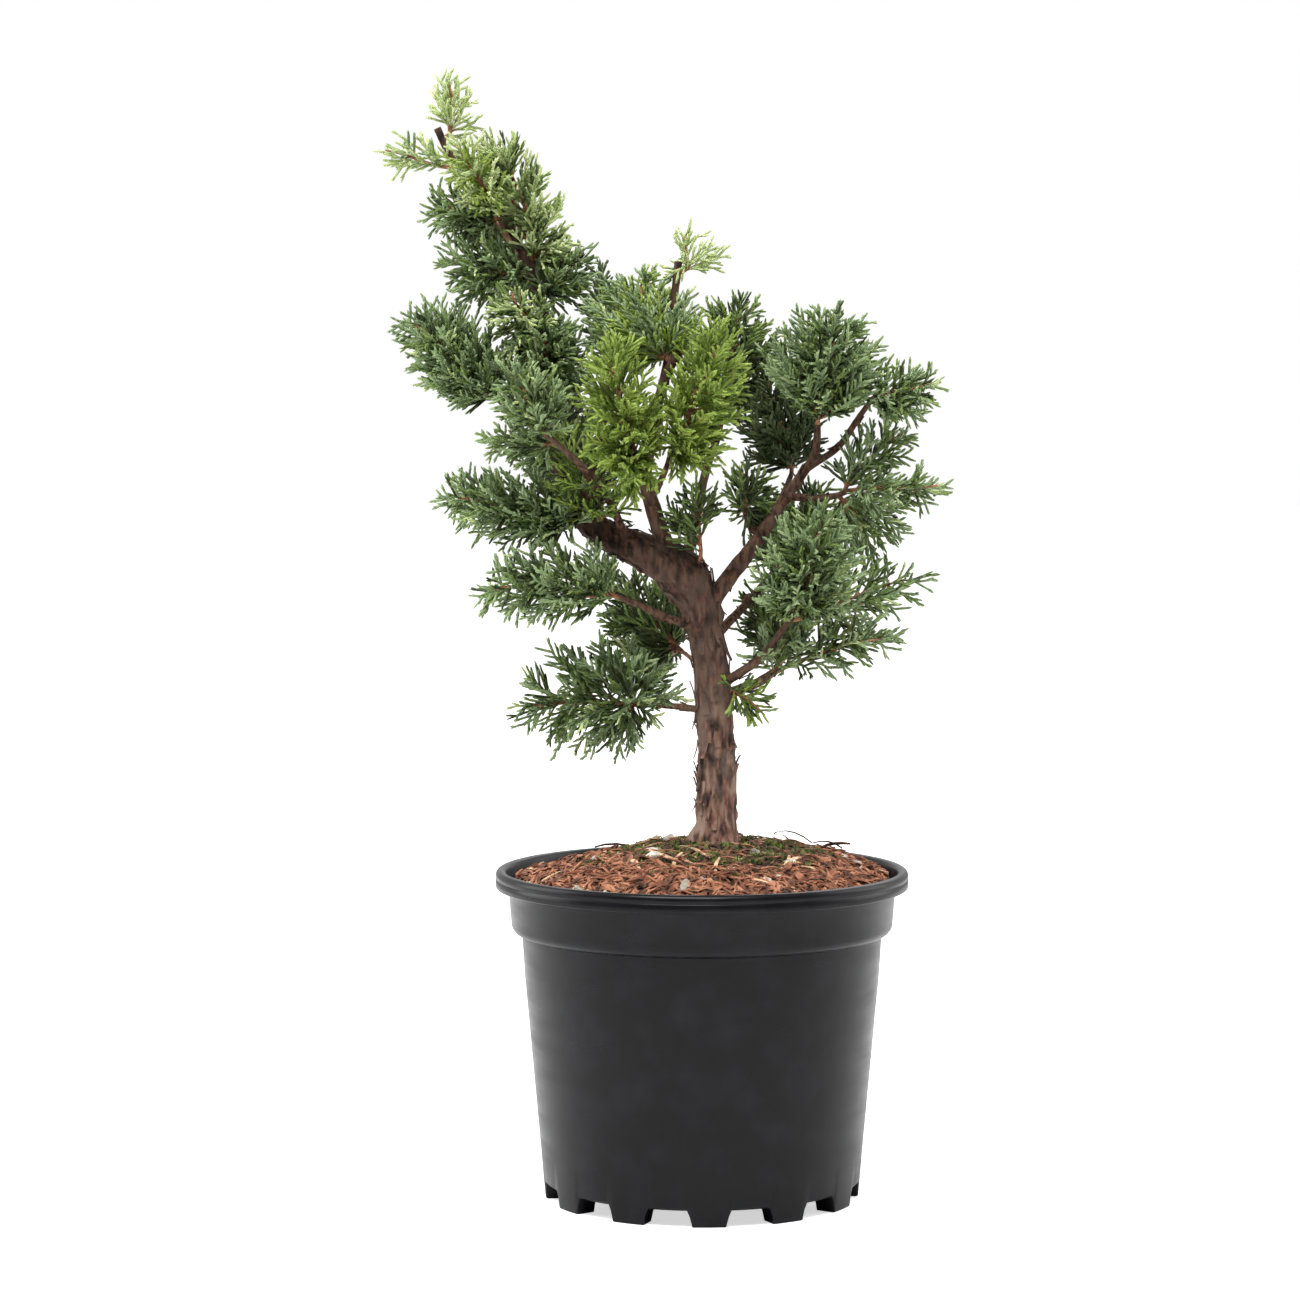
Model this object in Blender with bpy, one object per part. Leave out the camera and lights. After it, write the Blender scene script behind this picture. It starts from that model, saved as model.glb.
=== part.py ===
# Young potted juniper with a bent, leaning trunk, in a black nursery pot.
# Metres, +Z up, +X to the right and -Y to the front of the plant as it is usually looked at.
# Everything is laid out round the pot's own axis, and the last function centres the whole
# plant over the origin, with the pot's feet at z = 0.
import math
import random

import bmesh
import bpy
import numpy as np
from mathutils import Vector

MM = 0.001
GAP = 0.3 * MM

# Nursery pot of about 3 litres, moulded in one piece.
POT_SEGMENTS = 48
POT_TURN = math.radians(-88.0)
POT_HEIGHT = 152.0 * MM
RIM_RADIUS = 95.0 * MM
RIM_ROUND = 2.5 * MM
LIP_BOTTOM = 143.6 * MM
LIP_CORNER = 1.0 * MM
COLLAR_TOP_RADIUS = 89.2 * MM
COLLAR_BOTTOM_RADIUS = 87.9 * MM
COLLAR_BOTTOM = 127.5 * MM
BODY_TOP_RADIUS = 82.9 * MM
BASE_RADIUS = 73.1 * MM
WALL = 1.3 * MM
FLOOR = 1.5 * MM
FOOT_HEIGHT = 7.5 * MM
FOOT_INNER_RADIUS = 62.0 * MM
FOOT_DRAFT = 0.5 * MM
FOOT_COUNT = 12
HOLE_INNER_RADIUS = 36.0 * MM
HOLE_OUTER_RADIUS = 46.0 * MM
HOLE_COUNT = 6

# Soil, heaped round the trunk and lower behind it to the left.
SOIL_EDGE = 145.5 * MM
SOIL_CROWN = 163.7 * MM
SOIL_TOP_RINGS = (0.97, 0.86, 0.72, 0.58, 0.44, 0.30, 0.16)
SOIL_FLAT_RADIUS = 21.0 * MM
SOIL_DIP = 11.0 * MM
SOIL_DIP_PLACE = Vector((-60.0, 34.0)) * MM
SOIL_DIP_WIDTH = 27.0 * MM
SOIL_LUMP = 0.9 * MM
SOIL_LUMP_WAVES = (210.0, 190.0)
SOIL_ROUNDNESS = 2.6

# Trunk and boughs: name, what carries it, sides, and its course as x, y, z and radius in mm,
# each from its foot to its cut end or tip. The trunk's first point is its flat foot.
TRUNK_FOOT = (6.0, 0.0)
LIMBS = (
    ("trunk", None, 10, (
        (6, 0, 164, 11.0), (6.5, 0, 171, 9.6), (7, 0, 188, 8.9), (6.5, 0, 211, 8.5), (5, 0, 234, 8.2),
        (2, 0, 257, 8.1), (-2, 0, 275, 9.2), (-11, -1, 289, 11.0), (-26, -2, 298, 8.4),
        (-41, 0, 304, 6.7), (-55, 4, 315, 6.0), (-64, 8, 331, 5.3), (-68, 10, 353, 4.5),
        (-71, 10, 376, 3.8), (-72, 10, 399, 3.1), (-76, 10, 419, 2.6), (-84, 10, 438, 2.2),
        (-92, 9, 453, 2.0), (-104, 8, 467, 1.8), (-115, 7, 479, 1.7), (-121, 6, 491, 1.7))),
    ("bough_centre", "trunk", 8, (
        (-15, -2, 295, 4.4), (-23, -8, 320, 3.6), (-26, -13, 333, 2.8), (-23, -18, 349, 2.5),
        (-20, -22, 367, 2.3), (-16, -24, 380, 2.2), (-10, -25, 390, 2.1))),
    ("bough_top", "bough_centre", 6, (
        (-18, -23, 373, 2.0), (-15, -13, 392, 1.9), (-13, -10, 412, 1.8), (-11, -10, 430, 1.8))),
    ("bough_centre_left", "bough_centre", 6, (
        (-26, -12, 330, 1.7), (-30, -20, 335, 1.4), (-30, -28, 341, 1.2))),
    ("bough_centre_right", "bough_centre", 6, (
        (-24, -9, 323, 1.7), (-18, -17, 333, 1.4), (-14, -23, 345, 1.2))),
    ("bough_front_left", "trunk", 6, (
        (-33, -1, 300, 2.2), (-46, -22, 329, 1.7), (-59, -32, 342, 1.5), (-70, -38, 352, 1.3))),
    ("bough_right", "trunk", 8, (
        (1, 0, 271, 4.3), (13, 2, 287, 3.8), (21, 4, 297, 3.5), (29, 8, 308, 3.1), (37, 12, 320, 2.7),
        (45, 14, 331, 2.3), (52, 12, 343, 1.9), (53, 8, 356, 1.6))),
    ("bough_right_far", "bough_right", 6, (
        (48, 14, 336, 1.7), (62, 10, 345, 1.5), (71, 6, 358, 1.4), (78, 4, 368, 1.2))),
    ("bough_right_out", "bough_right", 6, (
        (39, 12, 323, 1.6), (55, 5, 322, 1.4), (68, 0, 326, 1.2))),
    ("bough_right_in", "bough_right", 6, (
        (35, 11, 317, 1.6), (38, 21, 324, 1.4), (42, 29, 333, 1.2))),
    ("bough_right_spur", "bough_right", 6, (
        (27, 7, 305, 1.5), (22, 11, 309, 1.2), (20, 14, 314, 1.1))),
    ("bough_lower_right", "trunk", 6, (
        (5, 0, 235, 2.5), (18, -4, 243, 2.1), (28, -8, 251, 1.9), (34, -11, 259, 1.7),
        (42, -14, 271, 1.5))),
    ("bough_lower_right_back", "trunk", 6, (
        (5, 1, 229, 2.8), (17, 6, 234, 2.5), (26, 10, 237, 2.2), (36, 18, 243, 1.7))),
    ("bough_mid_left", "trunk", 6, (
        (1, 0, 261, 2.2), (-10, -6, 266, 2.0), (-18, -9, 269, 1.8), (-28, -13, 274, 1.6),
        (-38, -16, 278, 1.4))),
    ("bough_lower_left", "trunk", 6, (
        (5, 0, 224, 1.9), (-6, 2, 226, 1.6), (-17, 3, 227, 1.4), (-29, 5, 227, 1.2))),
    ("bough_left_upper", "trunk", 6, (
        (-69, 10, 356, 1.8), (-81, 5, 361, 1.5), (-92, 0, 366, 1.3))),
    ("bough_back", "trunk", 6, (
        (-8, 3, 287, 3.0), (-4, 22, 308, 2.5), (2, 36, 333, 2.0), (9, 45, 353, 1.6))),
    ("bough_back_left", "trunk", 6, (
        (-46, 3, 309, 2.6), (-49, 24, 325, 2.2), (-46, 38, 350, 1.8), (-43, 36, 380, 1.4))),
    ("bough_back_right", "trunk", 6, (
        (3, 1, 256, 2.6), (12, 18, 264, 2.2), (23, 34, 274, 1.9), (35, 48, 287, 1.5))),
)
RING_SPACING = 8.5 * MM
RING_CLEARANCE = 1.0 * MM
CURVE_STEPS = 16
SLIDE_REACH = 40.0 * MM
SLIDE_HALVINGS = 40
BARK_DENT = 0.05

# Masses of foliage: name, the limb that carries it and how far along, the middle of its space
# and its half sizes across, front to back and along in mm, the lean of its long side to the
# left in degrees, and how far its twigs droop.
MASSES = (
    ("leader_tip", "trunk", 0.985, (-113, 6, 500), (10, 9, 17), 12, 0.0),
    ("leader_left_spray", "trunk", 0.95, (-132, 2, 479), (9, 10, 17), 82, 0.0),
    ("leader_front", "trunk", 0.885, (-103, -12, 468), (12, 12, 22), 30, 0.0),
    ("leader_right", "trunk", 0.80, (-80, 3, 458), (15, 18, 39), 28, 0.0),
    ("leader_left_mid", "trunk", 0.865, (-110, 6, 452), (14, 17, 18), 60, 0.0),
    ("leader_left_low", "trunk", 0.79, (-100, 0, 427), (17, 19, 21), 75, 0.0),
    ("leader_right_low", "trunk", 0.76, (-64, 6, 423), (13, 16, 18), -35, 0.0),
    ("leader_front_low", "trunk", 0.73, (-83, -12, 403), (14, 14, 18), 15, 0.0),
    ("leader_back", "trunk", 0.775, (-89, 34, 443), (17, 15, 44), 30, 0.0),
    ("left_upper", "bough_left_upper", 1.0, (-114, -4, 390), (22, 28, 28), 55, 0.0),
    ("centre_left", "trunk", 0.66, (-70, -10, 386), (21, 22, 24), 10, 0.0),
    ("front_left", "bough_front_left", 1.0, (-77, -42, 369), (15, 18, 20), 40, 0.0),
    ("left_spray", "bough_front_left", 0.93, (-83, -26, 348), (8, 16, 18), 80, 0.0),
    ("centre_low", "trunk", 0.455, (-50, -20, 334), (16, 14, 22), 50, 0.0),
    ("centre_top", "bough_centre", 0.93, (-28, -8, 404), (27, 28, 21), 0, 0.0),
    ("top_sprig", "bough_top", 0.93, (-8, -10, 432), (17, 10, 12), 0, 0.0),
    ("centre_front", "bough_centre_left", 1.0, (-36, -46, 359), (17, 17, 32), 10, 0.0),
    ("centre_right", "bough_centre_right", 1.0, (-1, -34, 367), (17, 18, 31), -15, 0.0),
    ("knuckle_spray", "trunk", 0.335, (-6, -16, 318), (10, 12, 14), -60, 0.0),
    ("back_centre", "bough_back", 1.0, (14, 40, 389), (20, 22, 23), -10, 0.0),
    ("back_sprig", "bough_back_left", 1.0, (-46, 34, 408), (9, 14, 24), 0, 0.0),
    ("right_top", "bough_right", 1.0, (56, -6, 386), (31, 30, 25), -15, 0.0),
    ("right_top_tip", "bough_right_far", 1.0, (91, -6, 370), (14, 17, 19), -70, 0.0),
    ("right_inner", "bough_right_in", 1.0, (36, 34, 360), (20, 20, 24), 20, 0.0),
    ("right_inner_low", "bough_right_spur", 1.0, (24, 16, 319), (14, 14, 22), 20, 0.0),
    ("right_high_mid", "bough_right_out", 0.90, (80, 8, 345), (13, 18, 20), -60, 0.0),
    ("right_tip", "bough_right_out", 1.0, (89, -10, 326), (10, 16, 25), -82, 0.0),
    ("right_mid", "bough_right_out", 0.80, (74, 14, 310), (18, 20, 24), -65, 0.0),
    ("right_front", "bough_lower_right", 1.0, (47, -30, 294), (25, 21, 28), -20, 0.0),
    ("right_low", "bough_lower_right", 0.92, (72, 8, 279), (17, 20, 30), -75, 0.15),
    ("right_low_spray", "bough_lower_right_back", 0.80, (56, -6, 256), (15, 22, 37), -85, 0.25),
    ("right_low_back", "bough_lower_right_back", 1.0, (34, 42, 264), (20, 20, 19), 0, 0.0),
    ("small_shoot", "trunk", 0.185, (19, -6, 232), (10, 8, 15), -130, 0.0),
    ("mid_left_upper", "trunk", 0.475, (-84, -6, 319), (19, 28, 37), 82, 0.0),
    ("mid_left_lower", "bough_mid_left", 1.0, (-70, -24, 286), (19, 24, 34), 98, 0.1),
    ("back_left_low", "trunk", 0.22, (-26, 44, 263), (24, 22, 28), 20, 0.1),
    ("lower_left", "bough_lower_left", 1.0, (-46, 0, 230), (30, 28, 41), 95, 0.4),
    ("back_left_mid", "trunk", 0.53, (-66, 54, 348), (26, 22, 31), 15, 0.0),
    ("back_right_mid", "bough_back_right", 1.0, (47, 56, 302), (26, 20, 28), -20, 0.0),
)

# The rule that every mass grows by.
FIRST_SEED = 41
STEM_ROOT_RADIUS = 1.3 * MM
STEM_TIP_RADIUS = 0.6 * MM
STEM_SIDES = 3
STEM_RINGS = (0.0, 0.10, 0.40, 0.70, 1.0)
STEM_REACH = 0.72
STEM_STRAIGHT = 7.0 * MM
STEM_STEPS = 40
STEM_SPACING = 1.0 * MM
SPRAY_SPACING = 18.5 * MM
MOST_SPRAYS = 12
SPRAY_JITTER = 0.12
TURN = math.radians(137.5)
FORK_ANGLE = math.radians(46.0)
ROOT_SIDE = 0.82
SHRINKS = (0.97, 0.85, 0.72)
LONGEST_SPRAY = 33.0 * MM
SHORTEST_SPRAY = 9.0 * MM
SPRAY_WIDTH = 0.50
SPRAY_ROLL = 0.7
WIDEST_SPRAY = 15.0 * MM
SPRAY_THICKNESS = 0.055
SPRAY_DEPTH = 0.2 * MM
# Outline of a spray with alternate teeth: share of its length, share of its half width.
SPRAY_OUTLINE = ((0.0, 0.0), (0.42, 1.0), (0.60, 0.42), (1.0, 0.0), (0.62, -0.92))
TWIG_RADIUS = 0.8 * MM
TWIG_SIDES = 3
TWIG_REACH = 0.4
NEIGHBOUR_MARGIN = 0.5 * MM
SAMPLE_RADIUS = 0.4 * MM
SAMPLE_SPACING = 1.5 * MM
ROOT_REACH = 3.0 * MM
FIRST_FORK = 5


def clear_scene():
    for thing in list(bpy.data.objects):
        bpy.data.objects.remove(thing, do_unlink=True)


def finish(name, colour, roughness):
    """A plain Principled finish."""
    material = bpy.data.materials.new(name)
    material.use_nodes = True
    shader = material.node_tree.nodes["Principled BSDF"]
    shader.inputs["Base Color"].default_value = (*colour, 1.0)
    shader.inputs["Roughness"].default_value = roughness
    shader.inputs["Metallic"].default_value = 0.0
    return material


def add_object(name, points, faces, material, smooth_angle=None):
    mesh = bpy.data.meshes.new(name)
    mesh.from_pydata([tuple(point) for point in points], [], faces)
    build = bmesh.new()
    build.from_mesh(mesh)
    bmesh.ops.recalc_face_normals(build, faces=build.faces)
    build.to_mesh(mesh)
    build.free()
    if smooth_angle is not None:
        mesh.shade_smooth()
        mesh.set_sharp_from_angle(angle=smooth_angle)
    if material is not None:
        mesh.materials.append(material)
    thing = bpy.data.objects.new(name, mesh)
    bpy.context.scene.collection.objects.link(thing)
    return thing


def arc(centre_radius, centre_height, size, start, end, steps):
    """Points of a section's rounded corner, from start to end in degrees."""
    points = []
    for step in range(steps + 1):
        angle = math.radians(start + (end - start) * step / steps)
        points.append((centre_radius + size * math.cos(angle), centre_height + size * math.sin(angle)))
    return points


def pot_outside():
    """Section of the outside, from the foot of the wall to the top of the lip."""
    shoulder = COLLAR_BOTTOM_RADIUS - BODY_TOP_RADIUS
    section = [(BASE_RADIUS, FOOT_HEIGHT)]
    section += arc(BODY_TOP_RADIUS, COLLAR_BOTTOM, shoulder, -90.0, 0.0, 2)
    section += [(COLLAR_TOP_RADIUS, LIP_BOTTOM)]
    section += [(RIM_RADIUS - LIP_CORNER, LIP_BOTTOM), (RIM_RADIUS, LIP_BOTTOM + LIP_CORNER)]
    section += arc(RIM_RADIUS - RIM_ROUND, POT_HEIGHT - RIM_ROUND, RIM_ROUND, 0.0, 180.0, 4)
    return section


def pot_inside():
    """Section of the inside, from under the lip down to the floor's edge."""
    shoulder = COLLAR_BOTTOM_RADIUS - BODY_TOP_RADIUS
    section = [(COLLAR_TOP_RADIUS - WALL, LIP_BOTTOM), (COLLAR_BOTTOM_RADIUS - WALL, COLLAR_BOTTOM + WALL)]
    section += arc(BODY_TOP_RADIUS - WALL, COLLAR_BOTTOM + WALL, shoulder, 0.0, -90.0, 1)[1:]
    section += [(BASE_RADIUS - WALL, FOOT_HEIGHT + FLOOR)]
    return section


def turned(section, segments, start):
    """Rings of points round the z axis, one for each point of a section."""
    rings = []
    for radius, height in section:
        ring = []
        for step in range(segments):
            angle = start + 2.0 * math.pi * step / segments
            ring.append(Vector((radius * math.cos(angle), radius * math.sin(angle), height)))
        rings.append(ring)
    return rings


def in_foot(step):
    """Whether a segment of the base stands on a foot, with a foot centred on the first point."""
    pitch = POT_SEGMENTS // FOOT_COUNT
    return (step + 1) % pitch < 2


def in_hole(step):
    pitch = POT_SEGMENTS // HOLE_COUNT
    return step % pitch in (3, 4)


def make_pot():
    under = FOOT_HEIGHT
    floor = FOOT_HEIGHT + FLOOR
    base = [(HOLE_INNER_RADIUS, under), (HOLE_OUTER_RADIUS, under), (FOOT_INNER_RADIUS, under)]
    section = base + pot_outside() + pot_inside()
    section += [(HOLE_OUTER_RADIUS, floor), (HOLE_INNER_RADIUS, floor)]
    rings = turned(section, POT_SEGMENTS, POT_TURN)
    feet = turned([(FOOT_INNER_RADIUS + FOOT_DRAFT, 0.0), (BASE_RADIUS - FOOT_DRAFT, 0.0)],
                  POT_SEGMENTS, POT_TURN)
    points = [point for ring in rings + feet for point in ring]
    count = POT_SEGMENTS

    def at(ring, step):
        return ring * count + step % count

    last = len(rings) - 1
    foot_in, foot_out = len(rings), len(rings) + 1
    middle_under = len(points)
    middle_floor = middle_under + 1
    points += [Vector((0.0, 0.0, under)), Vector((0.0, 0.0, floor))]
    faces = []
    for step in range(count):
        after = step + 1
        faces.append((middle_under, at(0, step), at(0, after)))
        faces.append((middle_floor, at(last, step), at(last, after)))
        for ring in range(last):
            hole_band = ring in (0, last - 1)
            foot_band = ring == 2
            if hole_band and in_hole(step) or foot_band and in_foot(step):
                continue
            faces.append((at(ring, step), at(ring, after), at(ring + 1, after), at(ring + 1, step)))
        if in_hole(step):
            for low, high in ((0, last), (1, last - 1)):
                faces.append((at(low, step), at(low, after), at(high, after), at(high, step)))
            for edge, beside in ((step, step - 1), (after, after)):
                if not in_hole(beside % count):
                    faces.append((at(0, edge), at(1, edge), at(last - 1, edge), at(last, edge)))
        if in_foot(step):
            faces.append((at(foot_in, step), at(foot_in, after), at(foot_out, after), at(foot_out, step)))
            for top, bottom in ((2, foot_in), (3, foot_out)):
                faces.append((at(top, step), at(top, after), at(bottom, after), at(bottom, step)))
            for edge, beside in ((step, step - 1), (after, after)):
                if not in_foot(beside % count):
                    faces.append((at(2, edge), at(3, edge), at(foot_out, edge), at(foot_in, edge)))
    used = sorted({index for face in faces for index in face})
    place = {index: number for number, index in enumerate(used)}
    faces = [tuple(place[index] for index in face) for face in faces]
    add_object("pot", [points[index] for index in used], faces,
               finish("black_plastic", (0.020, 0.020, 0.023), 0.38), math.radians(35.0))


def soil_height(x, y):
    """The soil's surface: a heap round the trunk's foot, a dip behind on the left, and lumps."""
    share = min(1.0, math.hypot(x, y) / (COLLAR_TOP_RADIUS - WALL))
    height = SOIL_EDGE + (SOIL_CROWN - SOIL_EDGE) * (1.0 - share ** SOIL_ROUNDNESS)
    away = (Vector((x, y)) - SOIL_DIP_PLACE).length / SOIL_DIP_WIDTH
    height -= SOIL_DIP * math.exp(-away * away)
    height += SOIL_LUMP * math.sin(x * SOIL_LUMP_WAVES[0] + 1.0) * math.sin(y * SOIL_LUMP_WAVES[1])
    foot = math.hypot(x - TRUNK_FOOT[0] * MM, y - TRUNK_FOOT[1] * MM)
    return SOIL_CROWN if foot < SOIL_FLAT_RADIUS else min(height, SOIL_CROWN)


def make_soil():
    inner = [(radius - GAP, height) for radius, height in reversed(pot_inside())]
    inner[0] = (inner[0][0], inner[0][1] + GAP)
    edge_radius = inner[-1][0]
    rings = turned(inner, POT_SEGMENTS, POT_TURN)
    for share in SOIL_TOP_RINGS:
        ring = turned([(edge_radius * share, 0.0)], POT_SEGMENTS // 2, POT_TURN)[0]
        rings.append([Vector((point.x, point.y, soil_height(point.x, point.y))) for point in ring])
    build = bmesh.new()
    loops = [[build.verts.new(point) for point in ring] for ring in rings]
    for lower, upper in zip(loops, loops[1:]):
        ratio = len(lower) // len(upper)
        for step in range(len(upper)):
            after = (step + 1) % len(upper)
            if ratio == 1:
                build.faces.new((lower[step], lower[after], upper[after], upper[step]))
            else:
                middle = lower[step * ratio + 1]
                far = lower[(step * ratio + 2) % len(lower)]
                build.faces.new((lower[step * ratio], middle, upper[step]))
                build.faces.new((middle, upper[after], upper[step]))
                build.faces.new((middle, far, upper[after]))
    build.faces.new(loops[0])
    build.faces.new(loops[-1])
    bmesh.ops.recalc_face_normals(build, faces=build.faces)
    mesh = bpy.data.meshes.new("soil")
    build.to_mesh(mesh)
    build.free()
    mesh.materials.append(finish("bark_mulch", (0.19, 0.085, 0.045), 0.95))
    bpy.context.scene.collection.objects.link(bpy.data.objects.new("soil", mesh))


def smooth_course(course, spacing):
    """Evenly spaced x, y, z and radius along a smooth curve through a limb's points."""
    knots = np.array(course, dtype=float) * MM
    knots = np.vstack((2 * knots[0] - knots[1], knots, 2 * knots[-1] - knots[-2]))
    fine = []
    for index in range(1, len(knots) - 2):
        before, start, end, after = knots[index - 1:index + 3]
        for t in np.linspace(0.0, 1.0, CURVE_STEPS, endpoint=False):
            fine.append(0.5 * (2 * start + (end - before) * t
                               + (2 * before - 5 * start + 4 * end - after) * t ** 2
                               + (3 * start - before - 3 * end + after) * t ** 3))
    fine.append(knots[-2])
    return evenly(np.array(fine), spacing)


def evenly(fine, spacing):
    """The same course with its points at even spacing."""
    run = np.concatenate(([0.0], np.cumsum(np.linalg.norm(np.diff(fine[:, :3], axis=0), axis=1))))
    count = max(3, int(round(run[-1] / spacing)) + 1)
    marks = np.linspace(0.0, run[-1], count)
    return np.stack([np.interp(marks, run, fine[:, axis]) for axis in range(4)], axis=1)


def clearance(spine, points):
    """Distance from each point to the surface of a tapered limb."""
    points = np.atleast_2d(points)
    starts = spine[:-1, :3]
    runs = spine[1:, :3] - starts
    offsets = points[:, None, :] - starts[None]
    share = np.clip((offsets * runs).sum(2) / (runs * runs).sum(1), 0.0, 1.0)
    nearest = np.linalg.norm(offsets - share[..., None] * runs, axis=2)
    radius = spine[:-1, 3] + share * (spine[1:, 3] - spine[:-1, 3])
    return (nearest - radius).min(axis=1)


def cross_frames(places):
    """Tangent and two crosswise directions at each point, carried along without twist."""
    tangents = np.gradient(places, axis=0)
    tangents /= np.linalg.norm(tangents, axis=1)[:, None]
    side = np.cross(tangents[0], (0.0, 1.0, 0.0))
    if np.linalg.norm(side) < 0.3:
        side = np.cross(tangents[0], (1.0, 0.0, 0.0))
    frames = []
    for tangent in tangents:
        side = side - tangent * side.dot(tangent)
        side /= np.linalg.norm(side)
        frames.append((tangent, side, np.cross(tangent, side)))
    return frames


def slide_out(point, direction, carrier):
    """The place along a line where it leaves a carrying limb, one gap clear of its bark."""
    inside, outside = 0.0, SLIDE_REACH
    for _ in range(SLIDE_HALVINGS):
        middle = 0.5 * (inside + outside)
        if clearance(carrier, point + direction * middle)[0] < GAP:
            inside = middle
        else:
            outside = middle
    return point + direction * outside


def make_limb(name, sides, spine, carrier, material, rng):
    """One tapering limb, its foot shaped to the bark that carries it."""
    frames = cross_frames(spine[:, :3])
    first_direction = frames[0][0]
    rings = []
    for (x, y, z, radius), (_, side, up) in zip(spine, frames):
        ring = []
        for step in range(sides):
            angle = 2.0 * math.pi * step / sides
            size = radius * (1.0 - BARK_DENT * rng.random())
            ring.append(np.array((x, y, z)) + size * (math.cos(angle) * side + math.sin(angle) * up))
        rings.append(ring)
    if carrier is not None:
        seated = [slide_out(point, first_direction, carrier) for point in rings[0]]
        foot = slide_out(spine[0, :3], first_direction, carrier)
        reach = max((point - spine[0, :3]).dot(first_direction) for point in seated + [foot])
        travel = (spine[:, :3] - spine[0, :3]) @ first_direction
        keep = [index for index in range(1, len(rings)) if travel[index] > reach + RING_CLEARANCE]
        rings = [seated] + [rings[index] for index in keep]
    else:
        foot = spine[0, :3]
        for point in rings[0]:
            point[2] = foot[2]
    points = [point for ring in rings for point in ring]
    faces = []
    for ring in range(len(rings) - 1):
        for step in range(sides):
            after = (step + 1) % sides
            faces.append((ring * sides + step, ring * sides + after,
                          (ring + 1) * sides + after, (ring + 1) * sides + step))
    points.append(foot)
    for step in range(sides):
        faces.append((len(points) - 1, step, (step + 1) % sides))
    faces.append(tuple((len(rings) - 1) * sides + step for step in range(sides)))
    add_object(name, points, faces, material, math.radians(40.0))


def make_limbs():
    bark = finish("bark", (0.16, 0.085, 0.055), 0.9)
    spines = {}
    rng = random.Random(FIRST_SEED)
    for name, carrier, sides, course in LIMBS:
        spines[name] = smooth_course(course, RING_SPACING)
        make_limb(name, sides, spines[name], spines.get(carrier), bark, rng)
    return spines


class Space:
    """The leaning ellipsoid that a mass of foliage keeps to."""

    def __init__(self, centre, half, lean):
        self.centre = np.array(centre, dtype=float) * MM
        self.half = np.array(half, dtype=float) * MM
        lean = math.radians(lean)
        self.axes = np.array(((math.cos(lean), 0.0, math.sin(lean)), (0.0, 1.0, 0.0),
                              (-math.sin(lean), 0.0, math.cos(lean))))

    def depth(self, points):
        """Rough distance outside the space, below zero inside it."""
        local = (np.atleast_2d(points) - self.centre) @ self.axes.T / self.half
        return (np.linalg.norm(local, axis=1) - 1.0) * self.half.min()

    def far_end(self, start):
        """The end of the long side that lies away from the stem's root."""
        end = self.axes[2] * self.half[2]
        return self.centre + (end if end.dot(self.centre - start) > 0.0 else -end)

    def skin(self, count, start, rng):
        """Places spread evenly over the space's surface, none of them on the root's side."""
        back = (start - self.centre) @ self.axes.T / self.half
        back /= np.linalg.norm(back)
        phase = rng.random()
        places = []
        for step in range(count):
            height = 1.0 - 2.0 * (step + 0.5) / count
            ring = math.sqrt(1.0 - height * height)
            angle = TURN * step + 2.0 * math.pi * phase
            way = np.array((ring * math.cos(angle), ring * math.sin(angle), height))
            way += SPRAY_JITTER * np.array([rng.uniform(-1.0, 1.0) for _ in range(3)])
            way /= np.linalg.norm(way)
            if way.dot(back) < ROOT_SIDE:
                places.append(self.centre + (way * self.half) @ self.axes)
        return places


def seat_on(spine, along, target):
    """Root of a stem on a limb, and the direction in which it leaves the bark."""
    place = along * (len(spine) - 1)
    index = min(int(place), len(spine) - 2)
    x, y, z, radius = spine[index] + (spine[index + 1] - spine[index]) * (place - index)
    point = np.array((x, y, z))
    tangent = spine[index + 1, :3] - spine[index, :3]
    tangent /= np.linalg.norm(tangent)
    if along == 1.0:
        return point + tangent * GAP, tangent
    out = target - point
    out -= tangent * out.dot(tangent)
    out /= np.linalg.norm(out)
    return point + out * (radius + GAP), out


def stem_course(root, out, space):
    """A stem that leaves the bark straight and bends through the space to its far end."""
    end = space.centre + (space.far_end(root) - space.centre) * STEM_REACH
    straight = root + out * STEM_STRAIGHT
    t = np.linspace(0.0, 1.0, STEM_STEPS)[:, None]
    course = ((1 - t) ** 3 * root + 3 * t * (1 - t) ** 2 * straight
              + 3 * t ** 2 * (1 - t) * space.centre + t ** 3 * end)
    radius = STEM_ROOT_RADIUS + (STEM_TIP_RADIUS - STEM_ROOT_RADIUS) * t
    return evenly(np.hstack((course, radius)), STEM_SPACING)


def tube(spine, sides, rings):
    """Points and faces of a closed tapering tube, with rings at the given shares of its length."""
    frames = cross_frames(spine[:, :3])
    picks = [int(round(share * (len(spine) - 1))) for share in rings]
    points, faces = [], []
    for pick in picks:
        _, side, up = frames[pick]
        for step in range(sides):
            angle = 2.0 * math.pi * step / sides
            points.append(spine[pick, :3] + spine[pick, 3] * (math.cos(angle) * side + math.sin(angle) * up))
    for ring in range(len(picks) - 1):
        for step in range(sides):
            after = (step + 1) % sides
            faces.append((ring * sides + step, ring * sides + after,
                          (ring + 1) * sides + after, (ring + 1) * sides + step))
    faces.append(tuple(range(sides))[::-1])
    faces.append(tuple((len(picks) - 1) * sides + step for step in range(sides)))
    return points, faces


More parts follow.
